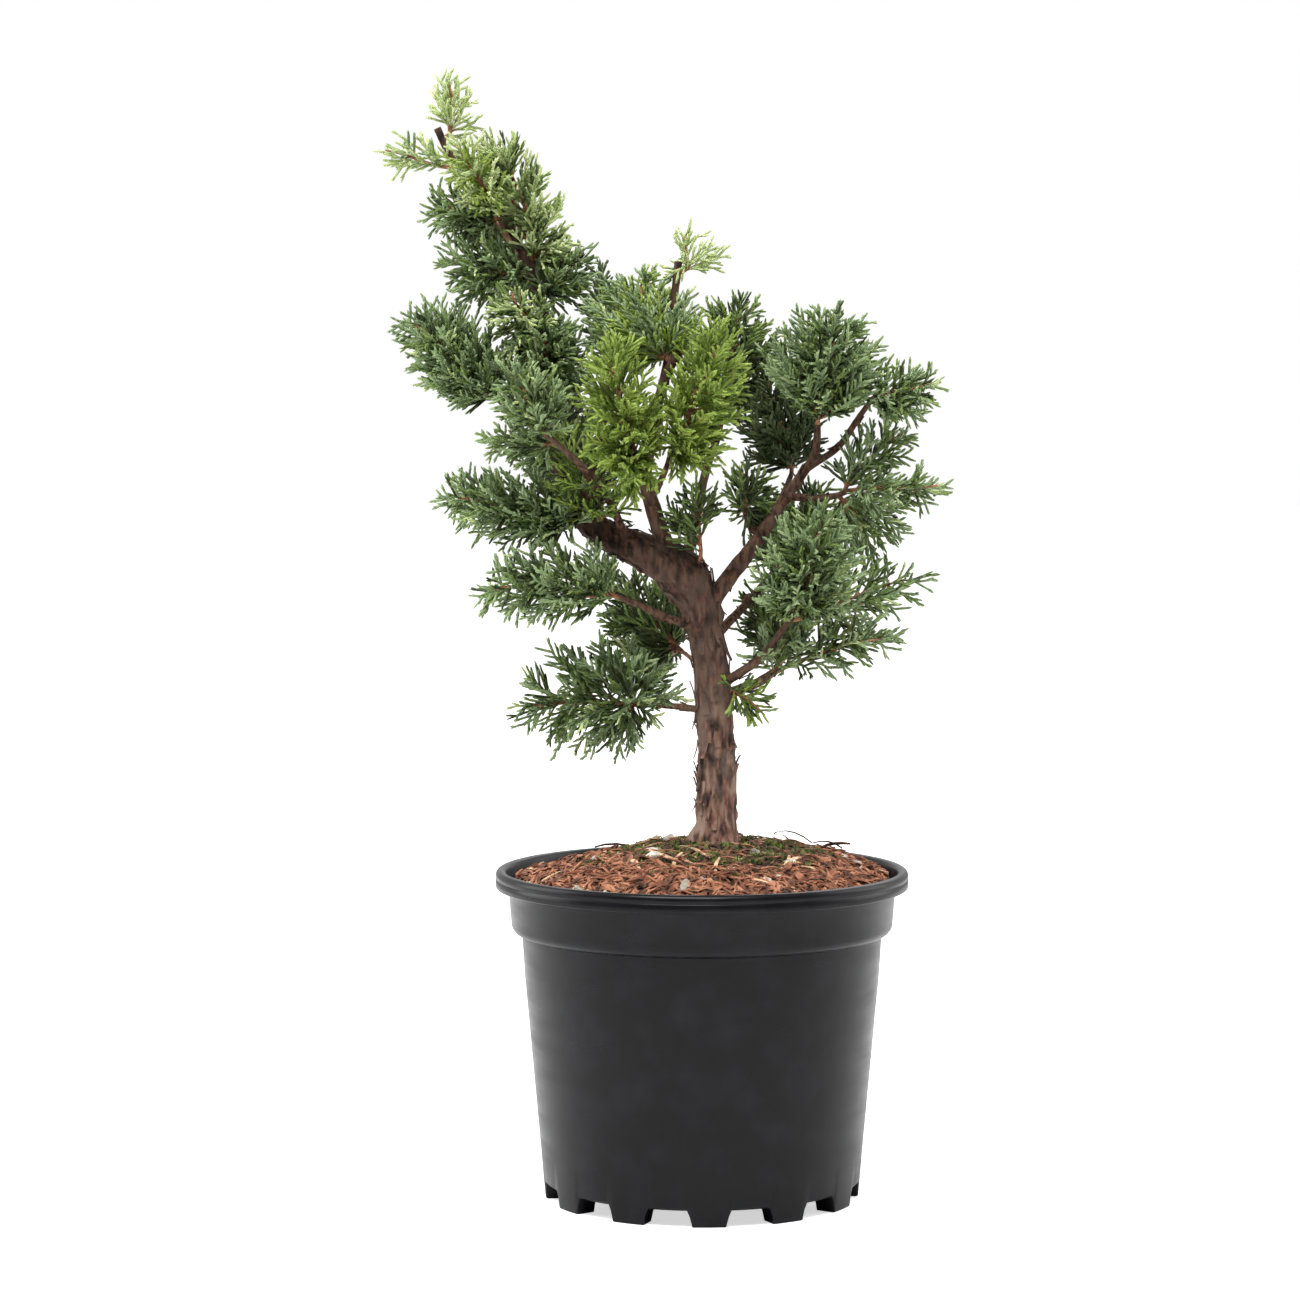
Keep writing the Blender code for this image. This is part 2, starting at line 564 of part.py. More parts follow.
def spray(root, direction, length, flat):
    """Points and faces of one toothed blade of needles, thickest along its middle."""
    side = np.cross(direction, flat)
    side /= np.linalg.norm(side)
    flat = np.cross(side, direction)
    half_width = 0.5 * min(SPRAY_WIDTH * length, WIDEST_SPRAY)
    outline = [root + direction * length * along + side * half_width * across
               for along, across in SPRAY_OUTLINE]
    middle = root + direction * length * 0.5
    rise = flat * 0.5 * SPRAY_THICKNESS * length
    count = len(outline)
    points = outline + [middle + rise, middle - rise]
    faces = []
    for step in range(count):
        after = (step + 1) % count
        faces.append((step, after, count))
        faces.append((after, step, count + 1))
    return points, faces


class Crown:
    """What a twig or a blade has to keep clear of: limbs, other stems and other spaces."""

    def __init__(self, limbs, spaces, stems):
        self.limbs = limbs
        self.spaces = spaces
        self.stems = stems

    def clear(self, points, start, owner, size):
        """Whether a twig or spray from start keeps to its space and touches nothing."""
        outer = points[np.linalg.norm(points - start, axis=1) > ROOT_REACH]
        own = self.spaces[owner].depth(outer)
        if own.max() > 0.0:
            return False
        for name, space in self.spaces.items():
            if name != owner and (space.depth(outer) - own).min() < NEIGHBOUR_MARGIN + size:
                return False
        for spine in self.limbs.values():
            if clearance(spine, points).min() < size + GAP:
                return False
        for name, stem in self.stems.items():
            if name != owner and clearance(stem, points).min() < size + GAP:
                return False
        return True


def between(start, end):
    """Evenly spaced places along a straight line."""
    count = max(2, int(np.linalg.norm(end - start) / SAMPLE_SPACING) + 1)
    return start + (end - start) * np.linspace(0.0, 1.0, count)[:, None]


def fork_on(stem, target):
    """The place on a stem from which a twig to the target leaves it at the fork angle."""
    places = stem[FIRST_FORK:, :3]
    tangents = np.gradient(places, axis=0)
    tangents /= np.linalg.norm(tangents, axis=1)[:, None]
    ways = target - places
    lengths = np.linalg.norm(ways, axis=1)
    angles = np.arccos(np.clip((ways * tangents).sum(1) / np.maximum(lengths, 1e-6), -1.0, 1.0))
    best = int(np.abs(angles - FORK_ANGLE).argmin())
    return places[best], ways[best] / lengths[best], lengths[best], tangents[best]


def grow_spray(crown, name, start, direction, length, flat):
    """One spray on the stem, on a bare twig where it is far out, or nothing if it does not fit."""
    bare = max(0.0, length - LONGEST_SPRAY)
    root = start + direction * (bare - SPRAY_DEPTH)
    points, faces = spray(root, direction, length - bare + SPRAY_DEPTH, flat)
    count = len(SPRAY_OUTLINE)
    samples = [between(points[step], points[(step + 1) % count]) for step in range(count)]
    samples.append(between(start, points[count]))
    if not crown.clear(np.vstack(samples), start, name, SAMPLE_RADIUS):
        return []
    pieces = [(points, faces)]
    if bare > 0.0:
        twig = np.array([(*start, TWIG_RADIUS), (*(root + direction * LONGEST_SPRAY * TWIG_REACH), TWIG_RADIUS / 2)])
        pieces.append(tube(twig, TWIG_SIDES, (0.0, 1.0)))
    return pieces


def grow_mass(crown, name, droop, seed):
    """The sprays of one mass, spread over its space, as closed pieces that all meet its stem."""
    rng = random.Random(seed)
    space, stem = crown.spaces[name], crown.stems[name]
    across, deep, along = space.half
    area = 4.0 * math.pi * (across * deep + deep * along + along * across) / 3.0
    count = min(MOST_SPRAYS, int(area / SPRAY_SPACING ** 2))
    tips = [space.far_end(stem[0, :3])] + space.skin(count, stem[0, :3], rng)
    pieces = []
    for tip in tips:
        roll = rng.uniform(-SPRAY_ROLL, SPRAY_ROLL)
        for shrink in SHRINKS:
            target = space.centre + (tip - space.centre) * shrink
            target[2] -= droop * np.linalg.norm(target[:2] - stem[0, :2]) * (1.0 - shrink)
            start, direction, length, tangent = fork_on(stem, target)
            if length < SHORTEST_SPRAY:
                break
            flat = tangent + roll * np.cross(direction, tangent)
            if abs(flat.dot(direction)) > 0.98 * np.linalg.norm(flat):
                flat = np.cross(direction, (0.0, 1.0, 0.0))
            grown = grow_spray(crown, name, start, direction, length, flat)
            if grown:
                pieces += grown
                break
    return pieces


def fuse(name, stem, pieces, material):
    """One Boolean union of a stem with its twigs and blades, kept as its one largest body."""
    points, faces = tube(stem, STEM_SIDES, STEM_RINGS)
    body = add_object(name, points, faces, material)
    group = bpy.data.collections.new(name + "_pieces")
    bpy.context.scene.collection.children.link(group)
    for number, (points, faces) in enumerate(pieces):
        piece = add_object(f"{name}_piece_{number}", points, faces, None)
        bpy.context.scene.collection.objects.unlink(piece)
        group.objects.link(piece)
    union = body.modifiers.new("union", "BOOLEAN")
    union.operation = "UNION"
    union.operand_type = "COLLECTION"
    union.collection = group
    union.solver = "MANIFOLD"
    bpy.context.view_layer.update()
    joined = bpy.data.meshes.new_from_object(body.evaluated_get(bpy.context.evaluated_depsgraph_get()))
    body.modifiers.clear()
    body.data = joined
    for piece in list(group.objects):
        bpy.data.objects.remove(piece, do_unlink=True)
    bpy.data.collections.remove(group)
    keep_largest(joined)
    joined.materials.clear()
    joined.materials.append(material)


def keep_largest(mesh):
    """Drop loose scraps and the walls of sealed hollows, leaving one closed body."""
    build = bmesh.new()
    build.from_mesh(mesh)
    bmesh.ops.triangulate(build, faces=build.faces)
    waiting = set(build.faces)
    largest = set()
    while waiting:
        group, edge = set(), [waiting.pop()]
        while edge:
            face = edge.pop()
            group.add(face)
            for line in face.edges:
                for beside in line.link_faces:
                    if beside in waiting:
                        waiting.remove(beside)
                        edge.append(beside)
        if len(group) > len(largest):
            largest = group
    scraps = [face for face in build.faces if face not in largest]
    bmesh.ops.delete(build, geom=scraps, context="FACES")
    build.to_mesh(mesh)
    build.free()


def make_foliage(limbs):
    green = finish("foliage", (0.10, 0.17, 0.05), 0.7)
    spaces, stems = {}, {}
    for name, carrier, along, centre, half, lean, _ in MASSES:
        spaces[name] = Space(centre, half, lean)
        root, out = seat_on(limbs[carrier], along, spaces[name].centre)
        stems[name] = stem_course(root, out, spaces[name])
    crown = Crown(limbs, spaces, stems)
    for number, (name, _, _, _, _, _, droop) in enumerate(MASSES):
        pieces = grow_mass(crown, name, droop, FIRST_SEED + number)
        fuse(name, stems[name], pieces, green)


def centre_over_origin():
    """Parent every piece to one empty that puts the whole plant's middle over the origin."""
    things = [thing for thing in bpy.data.objects if thing.type == "MESH"]
    points = np.vstack([np.array([tuple(vertex.co) for vertex in thing.data.vertices]) for thing in things])
    low, high = points.min(axis=0), points.max(axis=0)
    plant = bpy.data.objects.new("plant", None)
    bpy.context.scene.collection.objects.link(plant)
    plant.location = (-(low[0] + high[0]) / 2, -(low[1] + high[1]) / 2, -low[2])
    for thing in things:
        thing.parent = plant


clear_scene()
make_pot()
make_soil()
make_foliage(make_limbs())
centre_over_origin()
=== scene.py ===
import math
import random

import bmesh
import bpy
import numpy as np
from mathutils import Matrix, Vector, noise


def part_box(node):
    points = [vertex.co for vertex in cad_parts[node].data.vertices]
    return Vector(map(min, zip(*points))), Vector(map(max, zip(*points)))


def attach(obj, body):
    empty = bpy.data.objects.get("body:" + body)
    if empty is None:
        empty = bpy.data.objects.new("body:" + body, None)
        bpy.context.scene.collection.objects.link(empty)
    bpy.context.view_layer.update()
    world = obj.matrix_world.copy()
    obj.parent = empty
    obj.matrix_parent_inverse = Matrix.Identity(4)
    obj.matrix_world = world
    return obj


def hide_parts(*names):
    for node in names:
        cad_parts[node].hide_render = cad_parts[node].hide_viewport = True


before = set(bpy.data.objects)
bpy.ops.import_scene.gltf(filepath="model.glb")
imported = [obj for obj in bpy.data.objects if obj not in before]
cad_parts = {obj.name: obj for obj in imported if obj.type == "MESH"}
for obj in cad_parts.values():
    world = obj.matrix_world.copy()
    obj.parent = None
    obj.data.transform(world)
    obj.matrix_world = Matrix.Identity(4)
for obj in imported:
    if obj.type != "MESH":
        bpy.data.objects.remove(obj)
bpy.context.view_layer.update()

# The nursery pot: one thin shell of black plastic, moulded with a rolled lip, a collar, a
# stepped shoulder and twelve short feet. The plastic is satin, with faint scuffs and dust.
MM = 0.001
pot_low, pot_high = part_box("pot")
POT_AXIS = Vector(((pot_low[0] + pot_high[0]) / 2, (pot_low[1] + pot_high[1]) / 2, pot_low[2]))
POT_SEGMENTS = 360
POT_FRONT = math.radians(-88.0)
POT_HEIGHT = 152.0
RIM_RADIUS = 95.0
RIM_ROUND = 2.5
LIP_BOTTOM = 143.6
COLLAR_TOP_RADIUS = 89.2
COLLAR_BOTTOM_RADIUS = 87.9
COLLAR_BOTTOM = 127.5
BODY_TOP_RADIUS = 82.9
BASE_RADIUS = 73.1
POT_WALL = 1.3
POT_FLOOR = 1.5
FOOT_HEIGHT = 7.5
FOOT_INNER_RADIUS = 62.0
FOOT_COUNT = 12
FOOT_HALF_ANGLE = 7.5
FOOT_CORNER_ANGLE = 1.2
FOOT_DRAFT = 0.6
FOOT_DEPTH = 1.0
# How far in and down the edge under the wall is rounded, and how far out and up the lip's fillet is.
FOOT_ROUND = ((1.6, 1.0), (0.7, 0.6))
LIP_FILLET = ((-0.2, -0.8), (0.4, 0.0))
HOLE_RADII = (36.0, 46.0)
HOLE_ANGLES = (22.5, 37.5)
HOLE_COUNT = 6
BODY_STEP = 0.1
BODY_START = 1.2
BODY_RISE = 108.0
BODY_SHARES = (0.12, 0.3, 0.5, 0.7, 0.88)
COLLAR_ROUND = 0.8
COLLAR_ROUND_RISE = 0.6
LIP_ROUND = 0.9
# The seam round the lip: how far in it lies, and its heights.
SEAM = ((0.0, 147.4), (0.35, 147.9), (0.05, 148.5))
POT_SHARP_ANGLE = math.radians(38.0)


def corner(radius, height, size, start, end, steps):
    """Points of a rounded corner in a turned section, from start to end in degrees."""
    turns = [math.radians(start + (end - start) * step / steps) for step in range(steps + 1)]
    return [(radius + size * math.cos(turn), height + size * math.sin(turn)) for turn in turns]


def pot_section():
    """Radius and height from the middle of the underside, round the lip, to the floor's middle."""
    shoulder = COLLAR_BOTTOM_RADIUS - BODY_TOP_RADIUS
    under, floor = FOOT_HEIGHT, FOOT_HEIGHT + POT_FLOOR
    section = [(HOLE_RADII[0], under), (HOLE_RADII[1], under), (FOOT_INNER_RADIUS, under)]
    section += [(FOOT_INNER_RADIUS + FOOT_DRAFT, -FOOT_DEPTH)]
    section += [(BASE_RADIUS - inset, -depth) for inset, depth in FOOT_ROUND]
    section += [(BASE_RADIUS + BODY_STEP, under + BODY_START)]
    flare = BODY_TOP_RADIUS - BASE_RADIUS
    section += [(BASE_RADIUS + flare * share, under + BODY_START + BODY_RISE * share)
                for share in BODY_SHARES]
    section += corner(BODY_TOP_RADIUS, COLLAR_BOTTOM, shoulder, -90.0, -8.0, 7)
    section += corner(COLLAR_BOTTOM_RADIUS - COLLAR_ROUND, COLLAR_BOTTOM + COLLAR_ROUND_RISE,
                      COLLAR_ROUND, -20.0, 0.0, 2)
    section += [(COLLAR_TOP_RADIUS + out, LIP_BOTTOM + rise) for out, rise in LIP_FILLET]
    section += corner(RIM_RADIUS - LIP_ROUND, LIP_BOTTOM + LIP_ROUND, LIP_ROUND, -90.0, 0.0, 3)
    section += [(RIM_RADIUS - depth, height) for depth, height in SEAM]
    section += corner(RIM_RADIUS - RIM_ROUND, POT_HEIGHT - RIM_ROUND, RIM_ROUND, 8.0, 180.0, 9)
    section += [(COLLAR_TOP_RADIUS - POT_WALL, LIP_BOTTOM)]
    section += [(COLLAR_BOTTOM_RADIUS - POT_WALL, COLLAR_BOTTOM + POT_WALL)]
    section += corner(BODY_TOP_RADIUS - POT_WALL, COLLAR_BOTTOM + POT_WALL, shoulder, 0.0, -90.0, 5)[1:]
    section += [(BASE_RADIUS - POT_WALL, floor), (HOLE_RADII[1], floor), (HOLE_RADII[0], floor)]
    return section


def foot_bottom(angle):
    """Height of the wall's lower edge: on the ground at a foot, raised between feet."""
    pitch = 360.0 / FOOT_COUNT
    away = abs((angle + pitch / 2) % pitch - pitch / 2)
    rise = min(1.0, max(0.0, (away - FOOT_HALF_ANGLE + FOOT_CORNER_ANGLE) / FOOT_CORNER_ANGLE))
    return FOOT_HEIGHT * rise * rise * (3.0 - 2.0 * rise)


def in_hole(step):
    pitch = 360.0 / HOLE_COUNT
    return HOLE_ANGLES[0] <= (step * 360.0 / POT_SEGMENTS) % pitch < HOLE_ANGLES[1]


def new_piece(name, mesh, material):
    """A scene object at the origin, with one finish, that rides with the plant."""
    mesh.materials.clear()
    mesh.materials.append(material)
    piece = bpy.data.objects.new(name, mesh)
    bpy.context.scene.collection.objects.link(piece)
    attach(piece, "root")
    return piece


def build_pot():
    """The turned shell with its feet and its floor slots. Heights below zero ride on the feet."""
    section = pot_section()
    build = bmesh.new()
    rings = []
    for radius, height in section:
        ring = []
        for step in range(POT_SEGMENTS):
            angle = POT_FRONT + 2.0 * math.pi * step / POT_SEGMENTS
            z = height
            if height <= 0.0:
                z = foot_bottom(360.0 * step / POT_SEGMENTS) + (height + FOOT_DEPTH)
            ring.append(build.verts.new(POT_AXIS + Vector((radius * math.cos(angle),
                                                           radius * math.sin(angle), z)) * MM))
        rings.append(ring)
    last = len(rings) - 1
    centres = [build.verts.new(POT_AXIS + Vector((0.0, 0.0, height)) * MM)
               for height in (FOOT_HEIGHT, FOOT_HEIGHT + POT_FLOOR)]
    for step in range(POT_SEGMENTS):
        after = (step + 1) % POT_SEGMENTS
        for index in range(last):
            if index in (0, last - 1) and in_hole(step):
                continue
            build.faces.new((rings[index][step], rings[index][after],
                             rings[index + 1][after], rings[index + 1][step]))
        build.faces.new((centres[0], rings[0][after], rings[0][step]))
        build.faces.new((centres[1], rings[last][step], rings[last][after]))
        if in_hole(step):
            for low, high in ((0, last), (1, last - 1)):
                build.faces.new((rings[low][step], rings[low][after], rings[high][after], rings[high][step]))
            for edge, beside in ((step, step - 1), (after, after)):
                if not in_hole(beside % POT_SEGMENTS):
                    build.faces.new([rings[index][edge] for index in (0, 1, last - 1, last)])
    bmesh.ops.recalc_face_normals(build, faces=build.faces)
    mesh = bpy.data.meshes.new("pot_shell")
    build.to_mesh(mesh)
    build.free()
    mesh.shade_smooth()
    mesh.set_sharp_from_angle(angle=POT_SHARP_ANGLE)
    return mesh


class Nodes:
    """A material's node tree, with short calls to add and join nodes."""

    def __init__(self, name, colour, roughness):
        self.material = bpy.data.materials.new(name)
        self.material.use_nodes = True
        self.tree = self.material.node_tree
        self.shader = self.tree.nodes["Principled BSDF"]
        self.shader.inputs["Base Color"].default_value = (*colour, 1.0)
        self.shader.inputs["Roughness"].default_value = roughness
        self.place = self.tree.nodes.new("ShaderNodeTexCoord").outputs["Object"]

    def stretched(self, x, y, z):
        node = self.tree.nodes.new("ShaderNodeMapping")
        node.inputs["Scale"].default_value = (x, y, z)
        self.tree.links.new(self.place, node.inputs["Vector"])
        return node.outputs["Vector"]

    def noise(self, scale, detail=4.0, vector=None):
        node = self.tree.nodes.new("ShaderNodeTexNoise")
        node.inputs["Scale"].default_value = scale
        node.inputs["Detail"].default_value = detail
        self.tree.links.new(vector or self.place, node.inputs["Vector"])
        return node.outputs["Fac"]

    def cells(self, scale):
        node = self.tree.nodes.new("ShaderNodeTexVoronoi")
        node.inputs["Scale"].default_value = scale
        self.tree.links.new(self.place, node.inputs["Vector"])
        return node.outputs["Distance"]

    def ramp(self, value, *stops):
        """Colours or greys at places between 0 and 1."""
        node = self.tree.nodes.new("ShaderNodeValToRGB")
        while len(node.color_ramp.elements) < len(stops):
            node.color_ramp.elements.new(0.5)
        for element, (place, colour) in zip(node.color_ramp.elements, stops):
            element.position = place
            element.color = (*colour, 1.0) if isinstance(colour, tuple) else (colour, colour, colour, 1.0)
        self.tree.links.new(value, node.inputs["Fac"])
        return node.outputs["Color"]

    def mix(self, share, first, second, kind="MIX"):
        node = self.tree.nodes.new("ShaderNodeMix")
        node.data_type = "RGBA"
        node.blend_type = kind
        for socket, value in ((node.inputs[0], share), (node.inputs[6], first), (node.inputs[7], second)):
            if isinstance(value, bpy.types.NodeSocket):
                self.tree.links.new(value, socket)
            elif isinstance(value, tuple):
                socket.default_value = (*value, 1.0)
            else:
                socket.default_value = value
        return node.outputs[2]

    def join(self, value, socket):
        self.tree.links.new(value, self.shader.inputs[socket])

    def bump(self, height, distance, strength):
        node = self.tree.nodes.new("ShaderNodeBump")
        node.inputs["Distance"].default_value = distance
        node.inputs["Strength"].default_value = strength
        self.tree.links.new(height, node.inputs["Height"])
        self.tree.links.new(node.outputs["Normal"], self.shader.inputs["Normal"])


def black_plastic():
    """Satin black, rougher along faint level scuffs, with a film and a few specks of dust."""
    nodes = Nodes("black_plastic", (0.004, 0.004, 0.005), 0.30)
    nodes.shader.inputs["Specular IOR Level"].default_value = 0.17
    scuffs = nodes.noise(26.0, 5.0, nodes.stretched(1.0, 1.0, 6.0))
    dust = nodes.ramp(nodes.cells(230.0), (0.0, 1.0), (0.035, 0.0))
    patches = nodes.ramp(nodes.noise(14.0, 3.0), (0.62, 0.0), (0.78, 1.0))
    specks = nodes.mix(1.0, dust, patches, "MULTIPLY")
    film = nodes.ramp(nodes.noise(60.0, 6.0), (0.45, (0.0035, 0.0035, 0.0045)), (0.75, (0.008, 0.008, 0.010)))
    nodes.join(nodes.mix(specks, film, (0.32, 0.31, 0.30)), "Base Color")
    nodes.join(nodes.ramp(scuffs, (0.3, 0.27), (0.7, 0.38)), "Roughness")
    nodes.bump(nodes.noise(420.0, 2.0), 0.00003, 0.5)
    return nodes.material


pot = new_piece("pot_shell", build_pot(), black_plastic())
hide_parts("pot")

# The soil: a heap of moist bark mulch and coir over dark humus, loose in the pot and lower
# behind on the left. Moss and humus gather round the trunk's foot.
SOIL_EDGE = 147.8
SOIL_CROWN = 163.7
SOIL_RADIUS = 87.4
SOIL_DIP = 14.0
LITTER_DEPTH = 1.5
SOIL_DIP_PLACE = Vector((-60.0, 34.0))
SOIL_DIP_WIDTH = 25.0
TRUNK_FOOT = Vector((6.0, 0.0))
SOIL_RINGS = 56
SOIL_SEGMENTS = 180
SOIL_ROUNDNESS = 2.6
# Lumps of the surface: height, fineness and layer.
SOIL_LUMPS = ((1.7, 0.07, 3.0), (0.9, 0.22, 9.0), (0.5, 0.7, 5.0))
FOOT_MOUND = 30.0
SOIL_MIDDLE = 0.5
SOIL_CLEARANCE = 1.0
SOIL_SHOULDER = 120.0
SOIL_FLOOR_GAP = 0.4


def soil_height(x, y):
    """Height of the heap in mm over the ground, at a place in mm from the pot's axis."""
    share = min(1.0, math.hypot(x, y) / (COLLAR_TOP_RADIUS - POT_WALL))
    height = SOIL_EDGE + (SOIL_CROWN - SOIL_EDGE) * (1.0 - share ** SOIL_ROUNDNESS)
    away = (Vector((x, y)) - SOIL_DIP_PLACE).length / SOIL_DIP_WIDTH
    height -= SOIL_DIP * math.exp(-away * away)
    for rise, fineness, layer in SOIL_LUMPS:
        height += rise * noise.noise(Vector((x * fineness, y * fineness, layer)))
    height -= LITTER_DEPTH * min(1.0, (Vector((x, y)) - TRUNK_FOOT).length / FOOT_MOUND)
    return height


def tube_faces(rings, sides):
    """Faces of a closed tube whose points are stored ring by ring."""
    faces = [(ring * sides + step, ring * sides + (step + 1) % sides,
              (ring + 1) * sides + (step + 1) % sides, (ring + 1) * sides + step)
             for ring in range(rings - 1) for step in range(sides)]
    return faces + [tuple(reversed(range(sides))), tuple((rings - 1) * sides + step for step in range(sides))]


def outward(mesh):
    """Turn every face of closed bodies outward."""
    build = bmesh.new()
    build.from_mesh(mesh)
    bmesh.ops.recalc_face_normals(build, faces=build.faces)
    build.to_mesh(mesh)
    build.free()


def build_soil():
    """The heap as one closed body: its surface, its side and its flat underside."""
    radii = [SOIL_MIDDLE + (SOIL_RADIUS - SOIL_MIDDLE) * ring / SOIL_RINGS for ring in range(SOIL_RINGS + 1)]
    rings = [(radius, None) for radius in radii]
    rings += [(BODY_TOP_RADIUS - POT_WALL - SOIL_CLEARANCE, SOIL_SHOULDER),
              (BASE_RADIUS - POT_WALL - SOIL_CLEARANCE, FOOT_HEIGHT + POT_FLOOR + SOIL_FLOOR_GAP)]
    points = []
    for radius, height in rings:
        for step in range(SOIL_SEGMENTS):
            angle = math.tau * step / SOIL_SEGMENTS
            x, y = radius * math.cos(angle), radius * math.sin(angle)
            z = soil_height(x, y) if height is None else height
            points.append(tuple(POT_AXIS + Vector((x, y, z)) * MM))
    mesh = bpy.data.meshes.new("soil_heap")
    # The rings run from the middle outward, so the tube's faces are turned over. A quad keeps its
    # first corner, and so its diagonal.
    faces = [face[:1] + face[:0:-1] if len(face) == 4 else face[::-1]
             for face in tube_faces(len(rings), SOIL_SEGMENTS)]
    mesh.from_pydata(points, [], faces)
    mesh.shade_smooth()
    return mesh


def humus():
    """Dark crumbly soil with grains of red-brown bark."""
    nodes = Nodes("humus", (0.05, 0.028, 0.018), 0.95)
    grains = nodes.noise(420.0, 6.0)
    nodes.join(nodes.ramp(grains, (0.30, (0.018, 0.010, 0.007)), (0.50, (0.065, 0.030, 0.018)),
                          (0.72, (0.15, 0.070, 0.040))), "Base Color")
    nodes.bump(grains, 0.0012, 1.0)
    return nodes.material


soil = new_piece("soil_heap", build_soil(), humus())
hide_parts("soil")

# What lies on the soil: curled fibres and chips of red bark, pale splinters of wood, crumbs
# of humus, tufts of moss round the trunk's foot, and a few small stones.
LITTER_INSET = 0.8
PATCH_STEP = 2.5
PATCH_MARGIN = 3.0
TRUNK_CLEARING = 10.5
CLEARING_RAGGEDNESS = 0.25
CLEARING_FINENESS = 0.06
SPLINTER_TIP = 0.35
SPLINTER_CURVE = 0.12
LUMP_SHAPE = (1.25, 1.0, 0.75)
MOSS_SEED = 5
MOSS_LEAVES = 16
MOSS_LEAF_WIDTH = 0.16
MOSS_LEAF_FOOT = 0.3
MOSS_LEAF_KEEL = 0.15
# Corners of a moss leaf's faces: three at its foot, three at its middle and one at its tip.
MOSS_LEAF_FACES = ((0, 1, 4), (0, 4, 3), (1, 2, 5), (1, 5, 4), (2, 0, 3), (2, 3, 5), (3, 4, 6), (4, 5, 6),
                   (5, 3, 6), (0, 2, 1))


def scatter_tree(source):
    """Spreads copies of one small mesh over a surface, turned and sized at random."""
    tree = bpy.data.node_groups.new("scatter", "GeometryNodeTree")
    tree.interface.new_socket(name="Surface", in_out="INPUT", socket_type="NodeSocketGeometry")
    kinds = {"Density": "Float", "Seed": "Int", "Tilt": "Float", "Smallest": "Float", "Largest": "Float",
             "Finish": "Material"}
    sockets = {name: tree.interface.new_socket(name=name, in_out="INPUT", socket_type="NodeSocket" + kind)
               .identifier for name, kind in kinds.items()}
    tree.interface.new_socket(name="Surface", in_out="OUTPUT", socket_type="NodeSocketGeometry")
    start = tree.nodes.new("NodeGroupInput")
    end = tree.nodes.new("NodeGroupOutput")
    spread = tree.nodes.new("GeometryNodeDistributePointsOnFaces")
    thing = tree.nodes.new("GeometryNodeObjectInfo")
    thing.inputs["Object"].default_value = source
    place = tree.nodes.new("GeometryNodeInstanceOnPoints")
    tilt = tree.nodes.new("FunctionNodeRandomValue")
    tilt.data_type = "FLOAT_VECTOR"
    size = tree.nodes.new("FunctionNodeRandomValue")
    size.data_type = "FLOAT"
    spin = tree.nodes.new("GeometryNodeRotateInstances")
    corner_low = tree.nodes.new("ShaderNodeCombineXYZ")
    corner_high = tree.nodes.new("ShaderNodeCombineXYZ")
    minus = tree.nodes.new("ShaderNodeMath")
    minus.operation = "MULTIPLY"
    minus.inputs[1].default_value = -1.0
    corner_high.inputs["Z"].default_value = math.tau
    real = tree.nodes.new("GeometryNodeRealizeInstances")
    paint = tree.nodes.new("GeometryNodeSetMaterial")
    for giver, output, taker, entry in (
            (start, "Surface", spread, "Mesh"), (start, "Density", spread, "Density"),
            (start, "Seed", spread, "Seed"), (spread, "Points", place, "Points"),
            (spread, "Rotation", place, "Rotation"), (thing, "Geometry", place, "Instance"),
            (start, "Smallest", size, 2), (start, "Largest", size, 3), (size, 1, place, "Scale"),
            (start, "Tilt", minus, 0), (minus, 0, corner_low, "X"), (minus, 0, corner_low, "Y"),
            (start, "Tilt", corner_high, "X"), (start, "Tilt", corner_high, "Y"),
            (corner_low, 0, tilt, 0), (corner_high, 0, tilt, 1), (start, "Seed", tilt, "Seed"),
            (place, "Instances", spin, "Instances"), (tilt, 0, spin, "Rotation"),
            (spin, "Instances", real, "Geometry"), (real, "Geometry", paint, "Geometry"),
            (start, "Finish", paint, "Material"), (paint, "Geometry", end, 0)):
        tree.links.new(giver.outputs[output], taker.inputs[entry])
    return tree, sockets


def scatter(name, source_mesh, ground, density, seed, tilt, sizes, material):
    """One piece of many small things on a ground mesh, none of them past the inside of the pot."""
    source = bpy.data.objects.new(name + "_one", source_mesh)
    bed = bpy.data.objects.new(name + "_bed", ground.copy())
    bpy.context.scene.collection.objects.link(source)
    bpy.context.scene.collection.objects.link(bed)
    tree, sockets = scatter_tree(source)
    modifier = bed.modifiers.new("scatter", "NODES")
    modifier.node_group = tree
    values = {"Density": density, "Seed": seed, "Tilt": tilt, "Smallest": sizes[0], "Largest": sizes[1],
              "Finish": material}
    for label, value in values.items():
        modifier[sockets[label]] = value
    bpy.context.view_layer.update()
    mesh = bpy.data.meshes.new_from_object(bed.evaluated_get(bpy.context.evaluated_depsgraph_get()))
    bed.modifiers.clear()
    places = np.empty(len(mesh.vertices) * 3, dtype=np.float32)
    mesh.vertices.foreach_get("co", places)
    places = places.reshape(-1, 3)
    away = places[:, :2] - np.array(POT_AXIS)[:2]
    inside = (COLLAR_BOTTOM_RADIUS - POT_WALL - LITTER_INSET) * MM
    away *= np.minimum(1.0, inside / np.maximum(np.linalg.norm(away, axis=1), 1e-6))[:, None]
    places[:, :2] = away + np.array(POT_AXIS)[:2]
    mesh.vertices.foreach_set("co", places.ravel())
    for helper in (source, bed):
        bpy.data.objects.remove(helper, do_unlink=True)
    new_piece(name, mesh, material)


